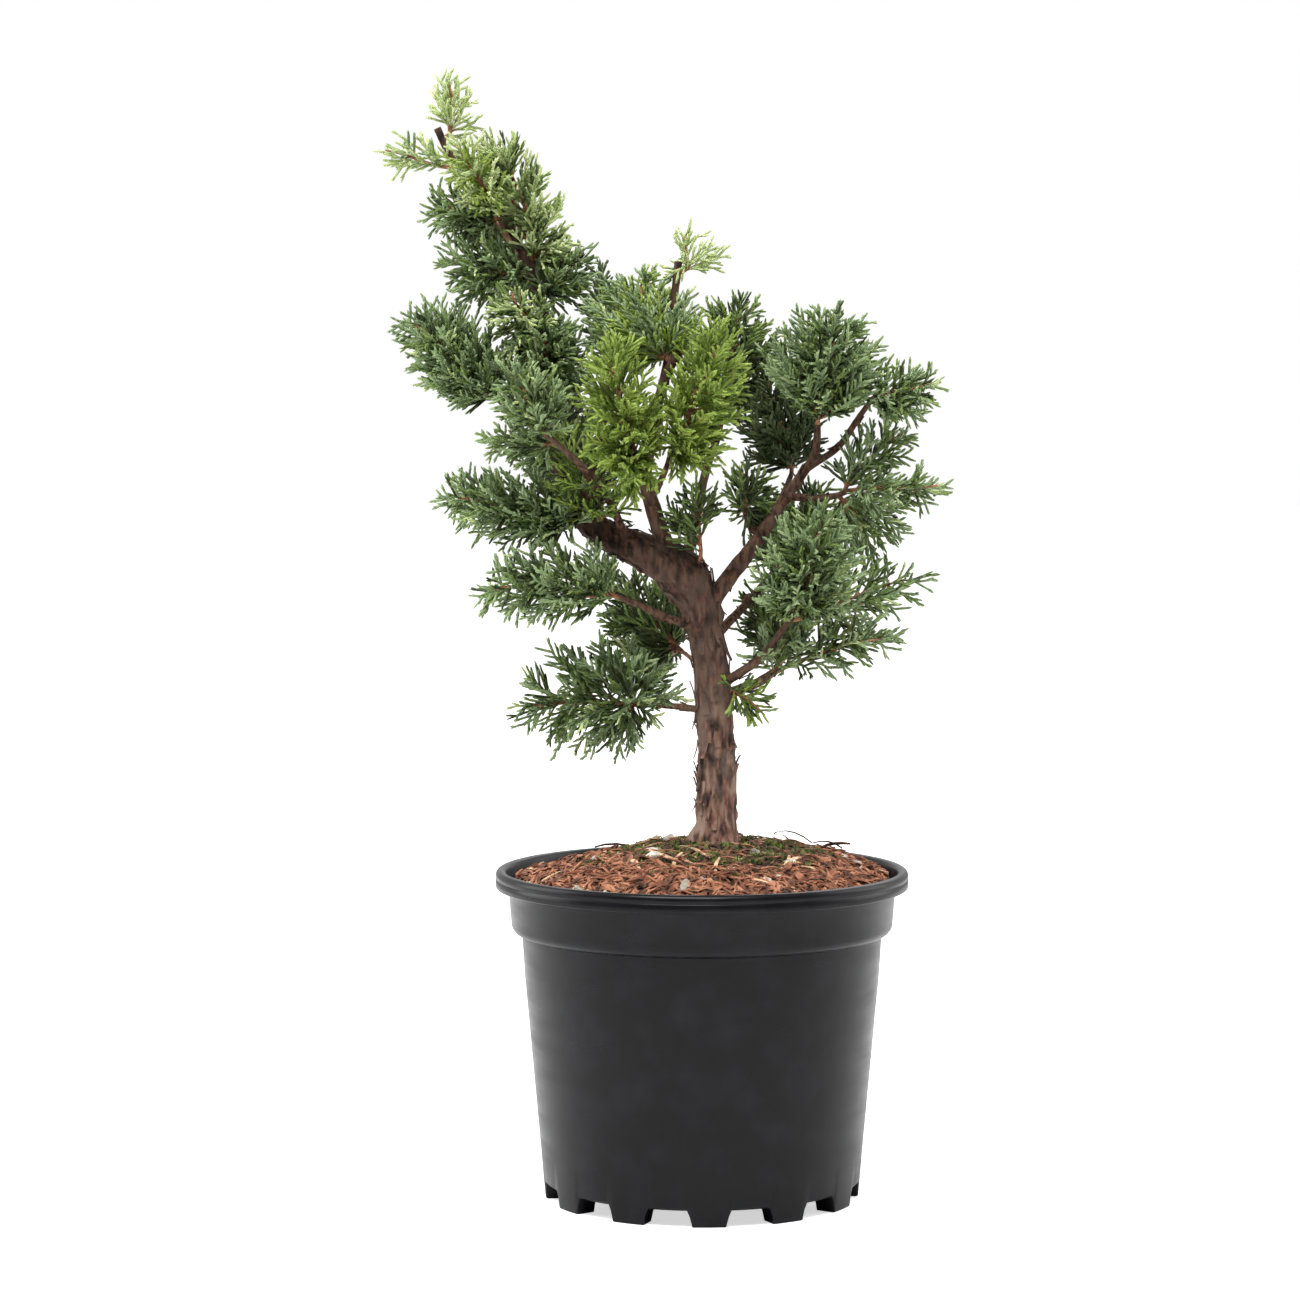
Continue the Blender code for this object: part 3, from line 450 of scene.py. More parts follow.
def soil_patch(outer, middle=(0.0, 0.0), bare=TRUNK_CLEARING):
    """A round patch of the heap's surface with a ragged clearing round the trunk, to scatter on."""
    points, faces = [], []
    count = int(2 * outer / PATCH_STEP)
    for row in range(count + 1):
        for column in range(count + 1):
            x = middle[0] - outer + PATCH_STEP * column
            y = middle[1] - outer + PATCH_STEP * row
            points.append(POT_AXIS + Vector((x, y, soil_height(x, y))) * MM)
    for row in range(count):
        for column in range(count):
            x = middle[0] - outer + PATCH_STEP * (column + 0.5)
            y = middle[1] - outer + PATCH_STEP * (row + 0.5)
            in_patch = math.hypot(x - middle[0], y - middle[1]) < outer
            in_pot = math.hypot(x, y) < SOIL_RADIUS - PATCH_MARGIN
            ragged = 1.0 + CLEARING_RAGGEDNESS * noise.noise(Vector((x, y, 0.0)) * CLEARING_FINENESS)
            if in_patch and in_pot and (Vector((x, y)) - TRUNK_FOOT).length > bare * ragged:
                first = row * (count + 1) + column
                faces.append((first, first + 1, first + count + 2, first + count + 1))
    mesh = bpy.data.meshes.new("patch")
    mesh.from_pydata([tuple(point) for point in points], [], faces)
    return mesh


def splinter(length, width, thickness, bend, stations=7):
    """A curled strip of bark or wood, thinner at its ends."""
    points = []
    for station in range(stations):
        share = station / (stations - 1)
        taper = SPLINTER_TIP + (1.0 - SPLINTER_TIP) * math.sin(math.pi * min(1.0, 0.12 + share * 0.86))
        x = (share - 0.5) * length
        z = thickness + bend * math.sin(math.pi * share) - bend * 0.3
        y = SPLINTER_CURVE * length * math.sin(2.6 * share + 0.4)
        for side, rise in ((-1, 0), (1, 0), (1, 1), (-1, 1)):
            points.append((x * MM, (y + side * width * taper / 2) * MM, (z + rise * thickness) * MM))
    mesh = bpy.data.meshes.new("splinter")
    mesh.from_pydata(points, [], tube_faces(stations, 4))
    outward(mesh)
    return mesh


def lump(size, level, rough, seed):
    """A rough rounded lump, for crumbs and stones."""
    build = bmesh.new()
    bmesh.ops.create_icosphere(build, subdivisions=level, radius=1.0)
    for vertex in build.verts:
        swell = 1.0 + rough * noise.noise(vertex.co * 1.3 + Vector((seed, 0.0, 0.0)))
        vertex.co = vertex.co * Vector(LUMP_SHAPE) * swell * size * MM
    mesh = bpy.data.meshes.new("lump")
    build.to_mesh(mesh)
    build.free()
    return mesh


def moss_tuft():
    """A tuft of fine pointed leaves, each with a keel."""
    rng = random.Random(MOSS_SEED)
    points, faces = [], []
    for _ in range(MOSS_LEAVES):
        angle, lean, length = rng.uniform(0.0, math.tau), rng.uniform(0.1, 0.9), rng.uniform(0.9, 2.0)
        out = Vector((math.cos(angle), math.sin(angle), 0.0))
        side = Vector((-math.sin(angle), math.cos(angle), 0.0)) * MOSS_LEAF_WIDTH
        keel = out * MOSS_LEAF_KEEL
        foot = out * MOSS_LEAF_FOOT
        middle = out * (MOSS_LEAF_FOOT + 0.4 * lean * length) + Vector((0.0, 0.0, 0.6 * length))
        tip = out * (MOSS_LEAF_FOOT + lean * length) + Vector((0.0, 0.0, length))
        leaf = (foot - side, foot + side, foot + keel, middle - side, middle + side, middle + keel, tip)
        faces += [tuple(len(points) + index for index in face) for face in MOSS_LEAF_FACES]
        points += [(point * MM)[:] for point in leaf]
    mesh = bpy.data.meshes.new("tuft")
    mesh.from_pydata(points, [], faces)
    outward(mesh)
    return mesh


def mulch_finish(name, dark, mid, light, rough=0.9, scale=160.0):
    """Loose litter whose shade changes from scrap to scrap."""
    nodes = Nodes(name, mid, rough)
    shade = nodes.noise(scale, 3.0)
    nodes.join(nodes.ramp(shade, (0.34, dark), (0.5, mid), (0.66, light)), "Base Color")
    nodes.bump(nodes.noise(1500.0, 3.0), 0.0002, 0.8)
    return nodes.material


red_bark = mulch_finish("red_bark", (0.065, 0.022, 0.011), (0.225, 0.080, 0.038), (0.42, 0.185, 0.10))
dark_bark = mulch_finish("dark_bark", (0.03, 0.014, 0.009), (0.09, 0.04, 0.022), (0.20, 0.09, 0.05))
pale_wood = mulch_finish("pale_wood", (0.36, 0.20, 0.11), (0.56, 0.36, 0.21), (0.72, 0.52, 0.34))
moss_green = mulch_finish("moss_green", (0.030, 0.045, 0.010), (0.085, 0.13, 0.022), (0.19, 0.25, 0.05))
stone = mulch_finish("stone", (0.22, 0.19, 0.15), (0.45, 0.40, 0.33), (0.68, 0.64, 0.56), 0.6, 90.0)
whole_heap = soil_patch(84.0)
outer_heap = soil_patch(84.0, bare=50.0)
foot_patch = soil_patch(60.0, (2.0, -8.0))
scatter("bark_fibres", splinter(10.0, 0.9, 0.3, 1.6), outer_heap, 210000.0, 3, 0.5, (0.4, 1.5), red_bark)
scatter("bark_strips", splinter(8.0, 2.3, 0.5, 0.8, 5), outer_heap, 60000.0, 8, 0.5, (0.4, 1.5), red_bark)
scatter("loose_fibres", splinter(9.0, 0.8, 0.3, 1.2), whole_heap, 26000.0, 9, 0.5, (0.4, 1.6), red_bark)
scatter("bark_scraps", splinter(5.0, 1.6, 0.6, 0.5, 5), whole_heap, 110000.0, 13, 0.6, (0.4, 1.4), dark_bark)
scatter("wood_splinters", splinter(17.0, 1.7, 0.5, 1.0, 6), whole_heap, 3600.0, 21, 0.3, (0.4, 1.5),
        pale_wood)
scatter("humus_crumbs", lump(1.0, 1, 0.5, 2.0), foot_patch, 300000.0, 34, 3.0, (0.5, 1.6), dark_bark)
scatter("moss_tufts", moss_tuft(), foot_patch, 95000.0, 55, 0.4, (0.8, 1.9), moss_green)
scatter("small_stones", lump(2.3, 3, 0.45, 7.0), whole_heap, 1500.0, 89, 3.0, (0.6, 1.6), stone)

# Trunk and boughs: one tapering stem of living wood under thin red-brown bark, which is grey
# and flaking on old wood. Each bough grows out of its carrier with a small collar.
LIMBS = (
    ("trunk", (
        (6, 0, 164, 11.0), (6.5, 0, 171, 9.6), (7, 0, 188, 8.9), (6.5, 0, 211, 8.5), (5, 0, 234, 8.2),
        (2, 0, 257, 8.1), (-2, 0, 275, 9.2), (-11, -1, 289, 11.0), (-26, -2, 298, 8.4),
        (-41, 0, 304, 6.7), (-55, 4, 315, 6.0), (-64, 8, 331, 5.3), (-68, 10, 353, 4.5),
        (-71, 10, 376, 3.8), (-72, 10, 399, 3.1), (-76, 10, 419, 2.6), (-84, 10, 438, 2.2),
        (-92, 9, 453, 2.0), (-104, 8, 467, 1.8), (-115, 7, 479, 1.7), (-121, 6, 491, 1.7))),
    ("bough_centre", (
        (-15, -2, 295, 4.4), (-23, -8, 320, 3.6), (-26, -13, 333, 2.8), (-23, -18, 349, 2.5),
        (-20, -22, 367, 2.3), (-16, -24, 380, 2.2), (-10, -25, 390, 2.1))),
    ("bough_top", (
        (-18, -23, 373, 2.0), (-15, -13, 392, 1.9), (-13, -10, 412, 1.8), (-11, -10, 430, 1.8))),
    ("bough_centre_left", (
        (-26, -12, 330, 1.7), (-30, -20, 335, 1.4), (-30, -28, 341, 1.2))),
    ("bough_centre_right", (
        (-24, -9, 323, 1.7), (-18, -17, 333, 1.4), (-14, -23, 345, 1.2))),
    ("bough_front_left", (
        (-33, -1, 300, 2.2), (-46, -22, 329, 1.7), (-59, -32, 342, 1.5), (-70, -38, 352, 1.3))),
    ("bough_right", (
        (1, 0, 271, 4.3), (13, 2, 287, 3.8), (21, 4, 297, 3.5), (29, 8, 308, 3.1), (37, 12, 320, 2.7),
        (45, 14, 331, 2.3), (52, 12, 343, 1.9), (53, 8, 356, 1.6))),
    ("bough_right_far", (
        (48, 14, 336, 1.7), (62, 10, 345, 1.5), (71, 6, 358, 1.4), (78, 4, 368, 1.2))),
    ("bough_right_out", (
        (39, 12, 323, 1.6), (55, 5, 322, 1.4), (68, 0, 326, 1.2))),
    ("bough_right_in", (
        (35, 11, 317, 1.6), (38, 21, 324, 1.4), (42, 29, 333, 1.2))),
    ("bough_right_spur", (
        (27, 7, 305, 1.5), (22, 11, 309, 1.2), (20, 14, 314, 1.1))),
    ("bough_lower_right", (
        (5, 0, 235, 2.5), (18, -4, 243, 2.1), (28, -8, 251, 1.9), (34, -11, 259, 1.7),
        (42, -14, 271, 1.5))),
    ("bough_lower_right_back", (
        (5, 1, 229, 2.8), (17, 6, 234, 2.5), (26, 10, 237, 2.2), (36, 18, 243, 1.7))),
    ("bough_mid_left", (
        (1, 0, 261, 2.2), (-10, -6, 266, 2.0), (-18, -9, 269, 1.8), (-28, -13, 274, 1.6),
        (-38, -16, 278, 1.4))),
    ("bough_lower_left", (
        (5, 0, 224, 1.9), (-6, 2, 226, 1.6), (-17, 3, 227, 1.4), (-29, 5, 227, 1.2))),
    ("bough_left_upper", (
        (-69, 10, 356, 1.8), (-81, 5, 361, 1.5), (-92, 0, 366, 1.3))),
    ("bough_back", (
        (-8, 3, 287, 3.0), (-4, 22, 308, 2.5), (2, 36, 333, 2.0), (9, 45, 353, 1.6))),
    ("bough_back_left", (
        (-46, 3, 309, 2.6), (-49, 24, 325, 2.2), (-46, 38, 350, 1.8), (-43, 36, 380, 1.4))),
    ("bough_back_right", (
        (3, 1, 256, 2.6), (12, 18, 264, 2.2), (23, 34, 274, 1.9), (35, 48, 287, 1.5))),
)
BARK_RING_SPACING = 1.3
BOUGH_RING_SPACING = 1.6
TRUNK_SIDES = 44
BOUGH_SIDES = 18
COLLAR_REACH = 6.0
COLLAR_SWELL = 0.35
FLARE_RISE = 2.3
FLARE_REACH = 9.0
CURVE_STEPS = 16
BARK_DEPTH = 0.14
# Ridges, plates and pits in the bark: their shares of its depth, and how fine they are round
# the limb and along it.
RIDGES = (0.35, 0.55, 0.075)
PLATES = (0.75, 0.32, 0.16)
PITS = (0.28, 1.6, 0.7)
BARK_SHARP_ANGLE = math.radians(60.0)
FLAP_STATIONS = 7
FLAP_TAPER = 0.55
FLAP_CURL = 0.35
FLAP_SEAT = 0.99
# A flake's section: places across it and rises over the wood, in mm.
FLAP_SECTION = ((-1, 0.0), (0, 0.12), (1, 0.0), (1, 0.35), (0, 0.5), (-1, 0.35))
# Knots and burls: distance along the trunk, angle round it, size and rise.
KNOTS = ((52.0, 4.3, 3.2, 2.2), (26.0, 4.9, 2.2, 1.4), (24.0, 3.6, 2.0, 1.2), (68.0, 3.2, 2.6, 1.8),
         (104.0, 3.3, 3.0, 2.0), (122.0, 2.2, 5.0, 2.4), (131.0, 4.6, 5.5, 2.8), (138.0, 1.0, 4.5, 2.2),
         (146.0, 5.3, 4.0, 2.0), (112.0, 5.2, 2.4, 1.3))


def run_along(course):
    """Distance of each point of a course from its start."""
    return np.concatenate(([0.0], np.cumsum(np.linalg.norm(np.diff(course[:, :3], axis=0), axis=1))))


def evenly(fine, spacing):
    """A course with its points at even spacing."""
    run = run_along(fine)
    count = max(3, int(round(run[-1] / spacing)) + 1)
    marks = np.linspace(0.0, run[-1], count)
    return np.stack([np.interp(marks, run, fine[:, axis]) for axis in range(4)], axis=1)


def smooth_course(course, spacing):
    """Places and radii along a smooth curve through a limb's points, in mm from the pot's axis."""
    knots = np.array(course, dtype=float)
    knots = np.vstack((2 * knots[0] - knots[1], knots, 2 * knots[-1] - knots[-2]))
    fine = []
    for index in range(1, len(knots) - 2):
        before, start, end, after = knots[index - 1:index + 3]
        for t in np.linspace(0.0, 1.0, CURVE_STEPS, endpoint=False):
            fine.append(0.5 * (2 * start + (end - before) * t
                               + (2 * before - 5 * start + 4 * end - after) * t ** 2
                               + (3 * start - before - 3 * end + after) * t ** 3))
    fine.append(knots[-2])
    return evenly(np.array(fine), spacing)


def cross_frames(places):
    """Tangent and two crosswise directions at each point, carried along without twist."""
    tangents = np.gradient(places, axis=0)
    tangents /= np.linalg.norm(tangents, axis=1)[:, None]
    side = np.cross(tangents[0], (0.0, 1.0, 0.0))
    if np.linalg.norm(side) < 0.3:
        side = np.cross(tangents[0], (1.0, 0.0, 0.0))
    frames = []
    for tangent in tangents:
        side = side - tangent * side.dot(tangent)
        side /= np.linalg.norm(side)
        frames.append((tangent, side, np.cross(tangent, side)))
    return frames


def ridges(angle, along, radius, seed):
    """Height of the bark over the wood: long ridges, plates and pits, in mm."""
    around = Vector((math.cos(angle), math.sin(angle), 0.0)) * radius
    ridge, plate, pit = [Vector((around.x * fine, around.y * fine, along * coarse + seed))
                         for _, fine, coarse in (RIDGES, PLATES, PITS)]
    long_ridge = noise.ridged_multi_fractal(ridge, 1.0, 2.0, 3, 0.9, 1.8) - 1.0
    depth = BARK_DEPTH * radius
    return depth * (RIDGES[0] * long_ridge + PLATES[0] * noise.noise(plate) + PITS[0] * noise.noise(pit))


def sweep_bark(course, sides, spacing, seed, bumps=(), foot=None):
    """Points and faces of one limb's bark, with knots and a swollen foot."""
    spine = smooth_course(course, spacing)
    frames = cross_frames(spine[:, :3])
    points = []
    for (x, y, z, radius), (_, side, up), along in zip(spine, frames, run_along(spine)):
        for step in range(sides):
            angle = math.tau * step / sides
            size = radius + ridges(angle, along, radius, seed)
            if foot == "collar":
                size += radius * COLLAR_SWELL * math.exp(-(along / COLLAR_REACH) ** 2)
            for bump_along, bump_angle, bump_size, bump_rise in bumps:
                turn = (angle - bump_angle + math.pi) % math.tau - math.pi
                away = math.hypot(along - bump_along, turn * radius) / bump_size
                size += bump_rise * math.exp(-away * away)
            if foot == "flare":
                lobes = 0.6 + 0.4 * math.cos(3.0 * angle + 0.6)
                size += FLARE_RISE * lobes * math.exp(-(along / FLARE_REACH) ** 2)
            points.append(np.array((x, y, z)) + size * (math.cos(angle) * side + math.sin(angle) * up))
    return points, tube_faces(len(spine), sides)


def bark_mesh(name, parts):
    """Several bark shapes in one mesh, moved from mm round the pot's axis into the frame."""
    points, faces = [], []
    for part_points, part_faces in parts:
        first = len(points)
        points += [tuple(POT_AXIS + Vector(point) * MM) for point in part_points]
        faces += [tuple(first + index for index in face) for face in part_faces]
    mesh = bpy.data.meshes.new(name)
    mesh.from_pydata(points, [], faces)
    mesh.shade_smooth()
    mesh.set_sharp_from_angle(angle=BARK_SHARP_ANGLE)
    outward(mesh)
    return mesh


def bark_flaps(course, count, seed, first, last, size):
    """Loose flakes of peeling bark: thin plates held at one end and lifted at the other."""
    rng = random.Random(seed)
    spine = smooth_course(course, 1.0)
    frames = cross_frames(spine[:, :3])
    parts = []
    for _ in range(count):
        length = size * rng.uniform(0.5, 1.5)
        start = int(rng.uniform(first, last) * (len(spine) - 3 - length))
        angle, width = rng.uniform(0.0, math.tau), size * rng.uniform(0.18, 0.42)
        lift, curl = size * rng.uniform(0.08, 0.28), rng.uniform(-0.5, 0.5)
        down = rng.random() < 0.5
        points = []
        for station in range(FLAP_STATIONS):
            share = station / (FLAP_STATIONS - 1)
            index = int(start + length * (1.0 - share if down else share))
            x, y, z, radius = spine[max(0, min(index, len(spine) - 1))]
            _, side, up = frames[max(0, min(index, len(spine) - 1))]
            taper = 1.0 - FLAP_TAPER * share ** 2
            for across, rise in FLAP_SECTION:
                turn = angle + curl * share * FLAP_CURL + across * width * taper / (2.0 * radius)
                reach = radius * FLAP_SEAT + lift * share ** 2 + rise
                out = math.cos(turn) * side + math.sin(turn) * up
                points.append(np.array((x, y, z)) + out * reach)
        faces = tube_faces(FLAP_STATIONS, len(FLAP_SECTION))
        # The root's end is wound against the rest here, so that all its edges are marked sharp.
        faces[-2] = faces[-2][::-1]
        parts.append((points, faces))
    return parts


def bark_finish(name, deep, brown, red, grey, scale):
    """Streaked bark with grey patches, and painted shadow of the crown that darkens the colour above a set
    height.
    """
    nodes = Nodes(name, brown, 0.9)
    streaks = nodes.noise(scale, 7.0, nodes.stretched(1.0, 1.0, 0.28))
    patches = nodes.noise(scale * 0.22, 4.0)
    wood = nodes.ramp(streaks, (0.38, deep), (0.46, brown), (0.55, red), (0.66, grey))
    aged = nodes.mix(nodes.ramp(patches, (0.42, 0.0), (0.66, 0.75)), wood, grey)
    # Painted shadow of the crown: the colour is multiplied darker from 0.205 m up, fully at 0.25 m and above.
    height = nodes.tree.nodes.new("ShaderNodeSeparateXYZ")
    nodes.tree.links.new(nodes.place, height.inputs[0])
    crown_shadow = nodes.ramp(height.outputs["Z"], (0.205, (1.0, 1.0, 1.0)), (0.25, (0.46, 0.40, 0.36)))
    nodes.join(nodes.mix(1.0, aged, crown_shadow, "MULTIPLY"), "Base Color")
    nodes.bump(streaks, 0.0016, 1.0)
    return nodes.material


trunk_bark = bark_finish("trunk_bark", (0.016, 0.008, 0.006), (0.075, 0.036, 0.024), (0.21, 0.095, 0.062),
                         (0.27, 0.19, 0.145), 330.0)
bough_bark = bark_finish("bough_bark", (0.040, 0.017, 0.010), (0.14, 0.062, 0.034), (0.28, 0.14, 0.08),
                         (0.27, 0.195, 0.14), 520.0)
trunk_course = LIMBS[0][1]
trunk_parts = [sweep_bark(trunk_course, TRUNK_SIDES, BARK_RING_SPACING, 2.0, KNOTS, "flare")]
trunk_parts += bark_flaps(trunk_course, 150, 11, 0.02, 0.52, 10.0)
trunk_parts += bark_flaps(trunk_course, 60, 12, 0.28, 0.48, 6.0)
trunk = new_piece("trunk_bark", bark_mesh("trunk_bark", trunk_parts), trunk_bark)
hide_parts("trunk")
bough_parts = []
for number, (name, course) in enumerate(LIMBS[1:]):
    bough_parts.append(sweep_bark(course, BOUGH_SIDES, BOUGH_RING_SPACING, 20.0 + number, (), "collar"))
    bough_parts += bark_flaps(course, 5, 60 + number, 0.05, 0.9, 5.0)
boughs = new_piece("bough_bark", bark_mesh("bough_bark", bough_parts), bough_bark)
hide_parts(*[name for name, _ in LIMBS[1:]])

# Foliage: each mass grows from one stem by the rule that its solid follows, carried on to
# plumes of fine cords. A cord is a shoot closely covered in scale leaves, about 1.2 mm thick.
MASSES = (
    ("leader_tip", "trunk", 0.985, (-113, 6, 500), (10, 9, 17), 12, 0.0),
    ("leader_left_spray", "trunk", 0.95, (-132, 2, 479), (9, 10, 17), 82, 0.0),
    ("leader_front", "trunk", 0.885, (-103, -12, 468), (12, 12, 22), 30, 0.0),
    ("leader_right", "trunk", 0.80, (-80, 3, 458), (15, 18, 39), 28, 0.0),
    ("leader_left_mid", "trunk", 0.865, (-110, 6, 452), (14, 17, 18), 60, 0.0),
    ("leader_left_low", "trunk", 0.79, (-100, 0, 427), (17, 19, 21), 75, 0.0),
    ("leader_right_low", "trunk", 0.76, (-64, 6, 423), (13, 16, 18), -35, 0.0),
    ("leader_front_low", "trunk", 0.73, (-83, -12, 403), (14, 14, 18), 15, 0.0),
    ("leader_back", "trunk", 0.775, (-89, 34, 443), (17, 15, 44), 30, 0.0),
    ("left_upper", "bough_left_upper", 1.0, (-114, -4, 390), (22, 28, 28), 55, 0.0),
    ("centre_left", "trunk", 0.66, (-70, -10, 386), (21, 22, 24), 10, 0.0),
    ("front_left", "bough_front_left", 1.0, (-77, -42, 369), (15, 18, 20), 40, 0.0),
    ("left_spray", "bough_front_left", 0.93, (-83, -26, 348), (8, 16, 18), 80, 0.0),
    ("centre_low", "trunk", 0.455, (-50, -20, 334), (16, 14, 22), 50, 0.0),
    ("centre_top", "bough_centre", 0.93, (-28, -8, 404), (27, 28, 21), 0, 0.0),
    ("top_sprig", "bough_top", 0.93, (-8, -10, 432), (17, 10, 12), 0, 0.0),
    ("centre_front", "bough_centre_left", 1.0, (-36, -46, 359), (17, 17, 32), 10, 0.0),
    ("centre_right", "bough_centre_right", 1.0, (-1, -34, 367), (17, 18, 31), -15, 0.0),
    ("knuckle_spray", "trunk", 0.335, (-6, -16, 318), (10, 12, 14), -60, 0.0),
    ("back_centre", "bough_back", 1.0, (14, 40, 389), (20, 22, 23), -10, 0.0),
    ("back_sprig", "bough_back_left", 1.0, (-46, 34, 408), (9, 14, 24), 0, 0.0),
    ("right_top", "bough_right", 1.0, (56, -6, 386), (31, 30, 25), -15, 0.0),
    ("right_top_tip", "bough_right_far", 1.0, (91, -6, 370), (14, 17, 19), -70, 0.0),
    ("right_inner", "bough_right_in", 1.0, (36, 34, 360), (20, 20, 24), 20, 0.0),
    ("right_inner_low", "bough_right_spur", 1.0, (24, 16, 319), (14, 14, 22), 20, 0.0),
    ("right_high_mid", "bough_right_out", 0.90, (80, 8, 345), (13, 18, 20), -60, 0.0),
    ("right_tip", "bough_right_out", 1.0, (89, -10, 326), (10, 16, 25), -82, 0.0),
    ("right_mid", "bough_right_out", 0.80, (74, 14, 310), (18, 20, 24), -65, 0.0),
    ("right_front", "bough_lower_right", 1.0, (47, -30, 294), (25, 21, 28), -20, 0.0),
    ("right_low", "bough_lower_right", 0.92, (72, 8, 279), (17, 20, 30), -75, 0.15),
    ("right_low_spray", "bough_lower_right_back", 0.80, (56, -6, 256), (15, 22, 37), -85, 0.25),
    ("right_low_back", "bough_lower_right_back", 1.0, (34, 42, 264), (20, 20, 19), 0, 0.0),
    ("small_shoot", "trunk", 0.185, (19, -6, 232), (10, 8, 15), -130, 0.0),
    ("mid_left_upper", "trunk", 0.475, (-84, -6, 319), (19, 28, 37), 82, 0.0),
    ("mid_left_lower", "bough_mid_left", 1.0, (-70, -24, 286), (19, 24, 34), 98, 0.1),
    ("back_left_low", "trunk", 0.22, (-26, 44, 263), (24, 22, 28), 20, 0.1),
    ("lower_left", "bough_lower_left", 1.0, (-46, 0, 230), (30, 28, 41), 95, 0.4),
    ("back_left_mid", "trunk", 0.53, (-66, 54, 348), (26, 22, 31), 15, 0.0),
    ("back_right_mid", "bough_back_right", 1.0, (47, 56, 302), (26, 20, 28), -20, 0.0),
)
FIRST_SEED = 41
STEM_REACH = 0.72
STEM_STRAIGHT = 7.0
STEM_RADIUS = 1.25
STEM_TAPER = 0.75
STEM_STEPS = 40
STEM_SPACING = 1.0
TIP_SINK = 0.5
BARK_SINK = 0.8
LIMB_SPACING = 4.0
FIRST_FORK = 3
STEEP = 0.8
ROOT_REACH = 3.0
NEAR_LIMB = 3.0
FAN_ROOM = 40.0
TWIG_RADIUS = 0.62
TWISTS = (0.0, 0.35, -0.35)
TWIST_JITTER = 0.35
SHORTEST_FORKED = 6.5
FORK_PLACES = (0.38, 0.66)
# Where the outer part of a plume starts, and the chances of each tone there and further in.
OUTER_SHARE = 0.45
TIP_CHANCE = 0.06
OUTER_CHANCE = 0.88
INNER_SHADE_CHANCE = 0.38
INNER_CHANCE = 0.85
TURN = math.radians(137.5)
FORK_ANGLE = math.radians(46.0)
ROOT_SIDE = 0.82
SKIN_JITTER = 0.12
SHRINKS = (1.0, 0.88, 0.76, 0.64)
PLUME_SPACING = 9.6
MOST_PLUMES = 110
LONGEST_PLUME = 30.0
SHORTEST_PLUME = 7.0
CORD_RADIUS = 0.58
CORD_SPACING = 2.3
CORD_LENGTH = 12.5
CORD_ANGLE = math.radians(34.0)
LIMB_MARGIN = 0.6
SKIN_MARGIN = 2.5
OVERLAP = 7.0
# How each mass is coloured: the tone of its outer cords and of its inner ones. The dark tone is painted
# shade, for masses and inner cords at the back and inside of the crown.
TONES = {
    "leader_tip": ("tip", "tip"), "leader_left_spray": ("tip", "blue"), "leader_front": ("tip", "bright"),
    "leader_right": ("tip", "green"), "leader_left_mid": ("blue", "green"), "leader_back": ("green", "dark"),
    "leader_left_low": ("blue", "green"), "leader_right_low": ("blue", "green"),
    # The front centre's lit yellow-green tone is the plant's yellower green with painted light on it.
    "leader_front_low": ("tip", "green"), "top_sprig": ("tip", "tip"), "centre_top": ("blue", "bright"),
    "centre_front": ("bright", "bright"), "centre_right": ("bright", "bright"),
    "centre_low": ("bright", "green"), "knuckle_spray": ("green", "dark"), "back_sprig": ("dark", "dark"),
    "back_centre": ("green", "dark"), "right_inner": ("dark", "dark"), "right_inner_low": ("green", "dark"),
    "back_left_low": ("green", "dark"), "back_left_mid": ("green", "dark"),
    "back_right_mid": ("green", "dark"), "right_low_back": ("green", "dark"),
    "small_shoot": ("bright", "green"),
}
PLAIN_TONES = ("blue", "green")
# How far apart the plumes of the open and of the dense masses stand, and how far some fan out.
OPENNESS = {
    "lower_left": 1.55, "right_low": 1.4, "right_low_spray": 1.6, "right_mid": 1.3, "right_high_mid": 1.3,
    "right_tip": 1.2, "leader_tip": 1.25, "top_sprig": 1.2, "leader_left_spray": 1.25, "mid_left_upper": 1.1,
    "mid_left_lower": 1.15, "centre_front": 0.9, "centre_right": 0.9, "centre_top": 0.9,
}
FANS = {
    "centre_front": 1.25, "centre_right": 1.25, "centre_low": 1.25, "back_centre": 1.2, "right_inner": 1.15,
    "centre_top": 1.1, "knuckle_spray": 1.15, "front_left": 1.1,
}


def clearance(spine, points):
    """Distance from each point to the surface of a tapered limb."""
    starts = spine[:-1, :3]
    runs = spine[1:, :3] - starts
    offsets = points[:, None, :] - starts[None]
    share = np.clip((offsets * runs).sum(2) / (runs * runs).sum(1), 0.0, 1.0)
    nearest = np.linalg.norm(offsets - share[..., None] * runs, axis=2)
    radius = spine[:-1, 3] + share * (spine[1:, 3] - spine[:-1, 3])
    return (nearest - radius).min(axis=1)


class Space:
    """The leaning ellipsoid that a mass of foliage keeps to."""

    def __init__(self, centre, half, lean):
        self.centre = np.array(centre, dtype=float)
        self.half = np.array(half, dtype=float)
        lean = math.radians(lean)
        self.axes = np.array(((math.cos(lean), 0.0, math.sin(lean)), (0.0, 1.0, 0.0),
                              (-math.sin(lean), 0.0, math.cos(lean))))

    def far_end(self, start):
        """The end of the long side that lies away from the stem's root."""
        end = self.axes[2] * self.half[2]
        return self.centre + (end if end.dot(self.centre - start) > 0.0 else -end)

    def skin(self, count, start, rng):
        """Places spread evenly over the space's surface, none of them on the root's side."""
        back = (start - self.centre) @ self.axes.T / self.half
        back /= np.linalg.norm(back)
        phase = rng.random()
        places = []
        for step in range(count):
            height = 1.0 - 2.0 * (step + 0.5) / count
            ring = math.sqrt(1.0 - height * height)
            angle = TURN * step + math.tau * phase
            way = np.array((ring * math.cos(angle), ring * math.sin(angle), height))
            way += SKIN_JITTER * np.array([rng.uniform(-1.0, 1.0) for _ in range(3)])
            way /= np.linalg.norm(way)
            if way.dot(back) < ROOT_SIDE:
                places.append(self.centre + (way * self.half) @ self.axes)
        return places


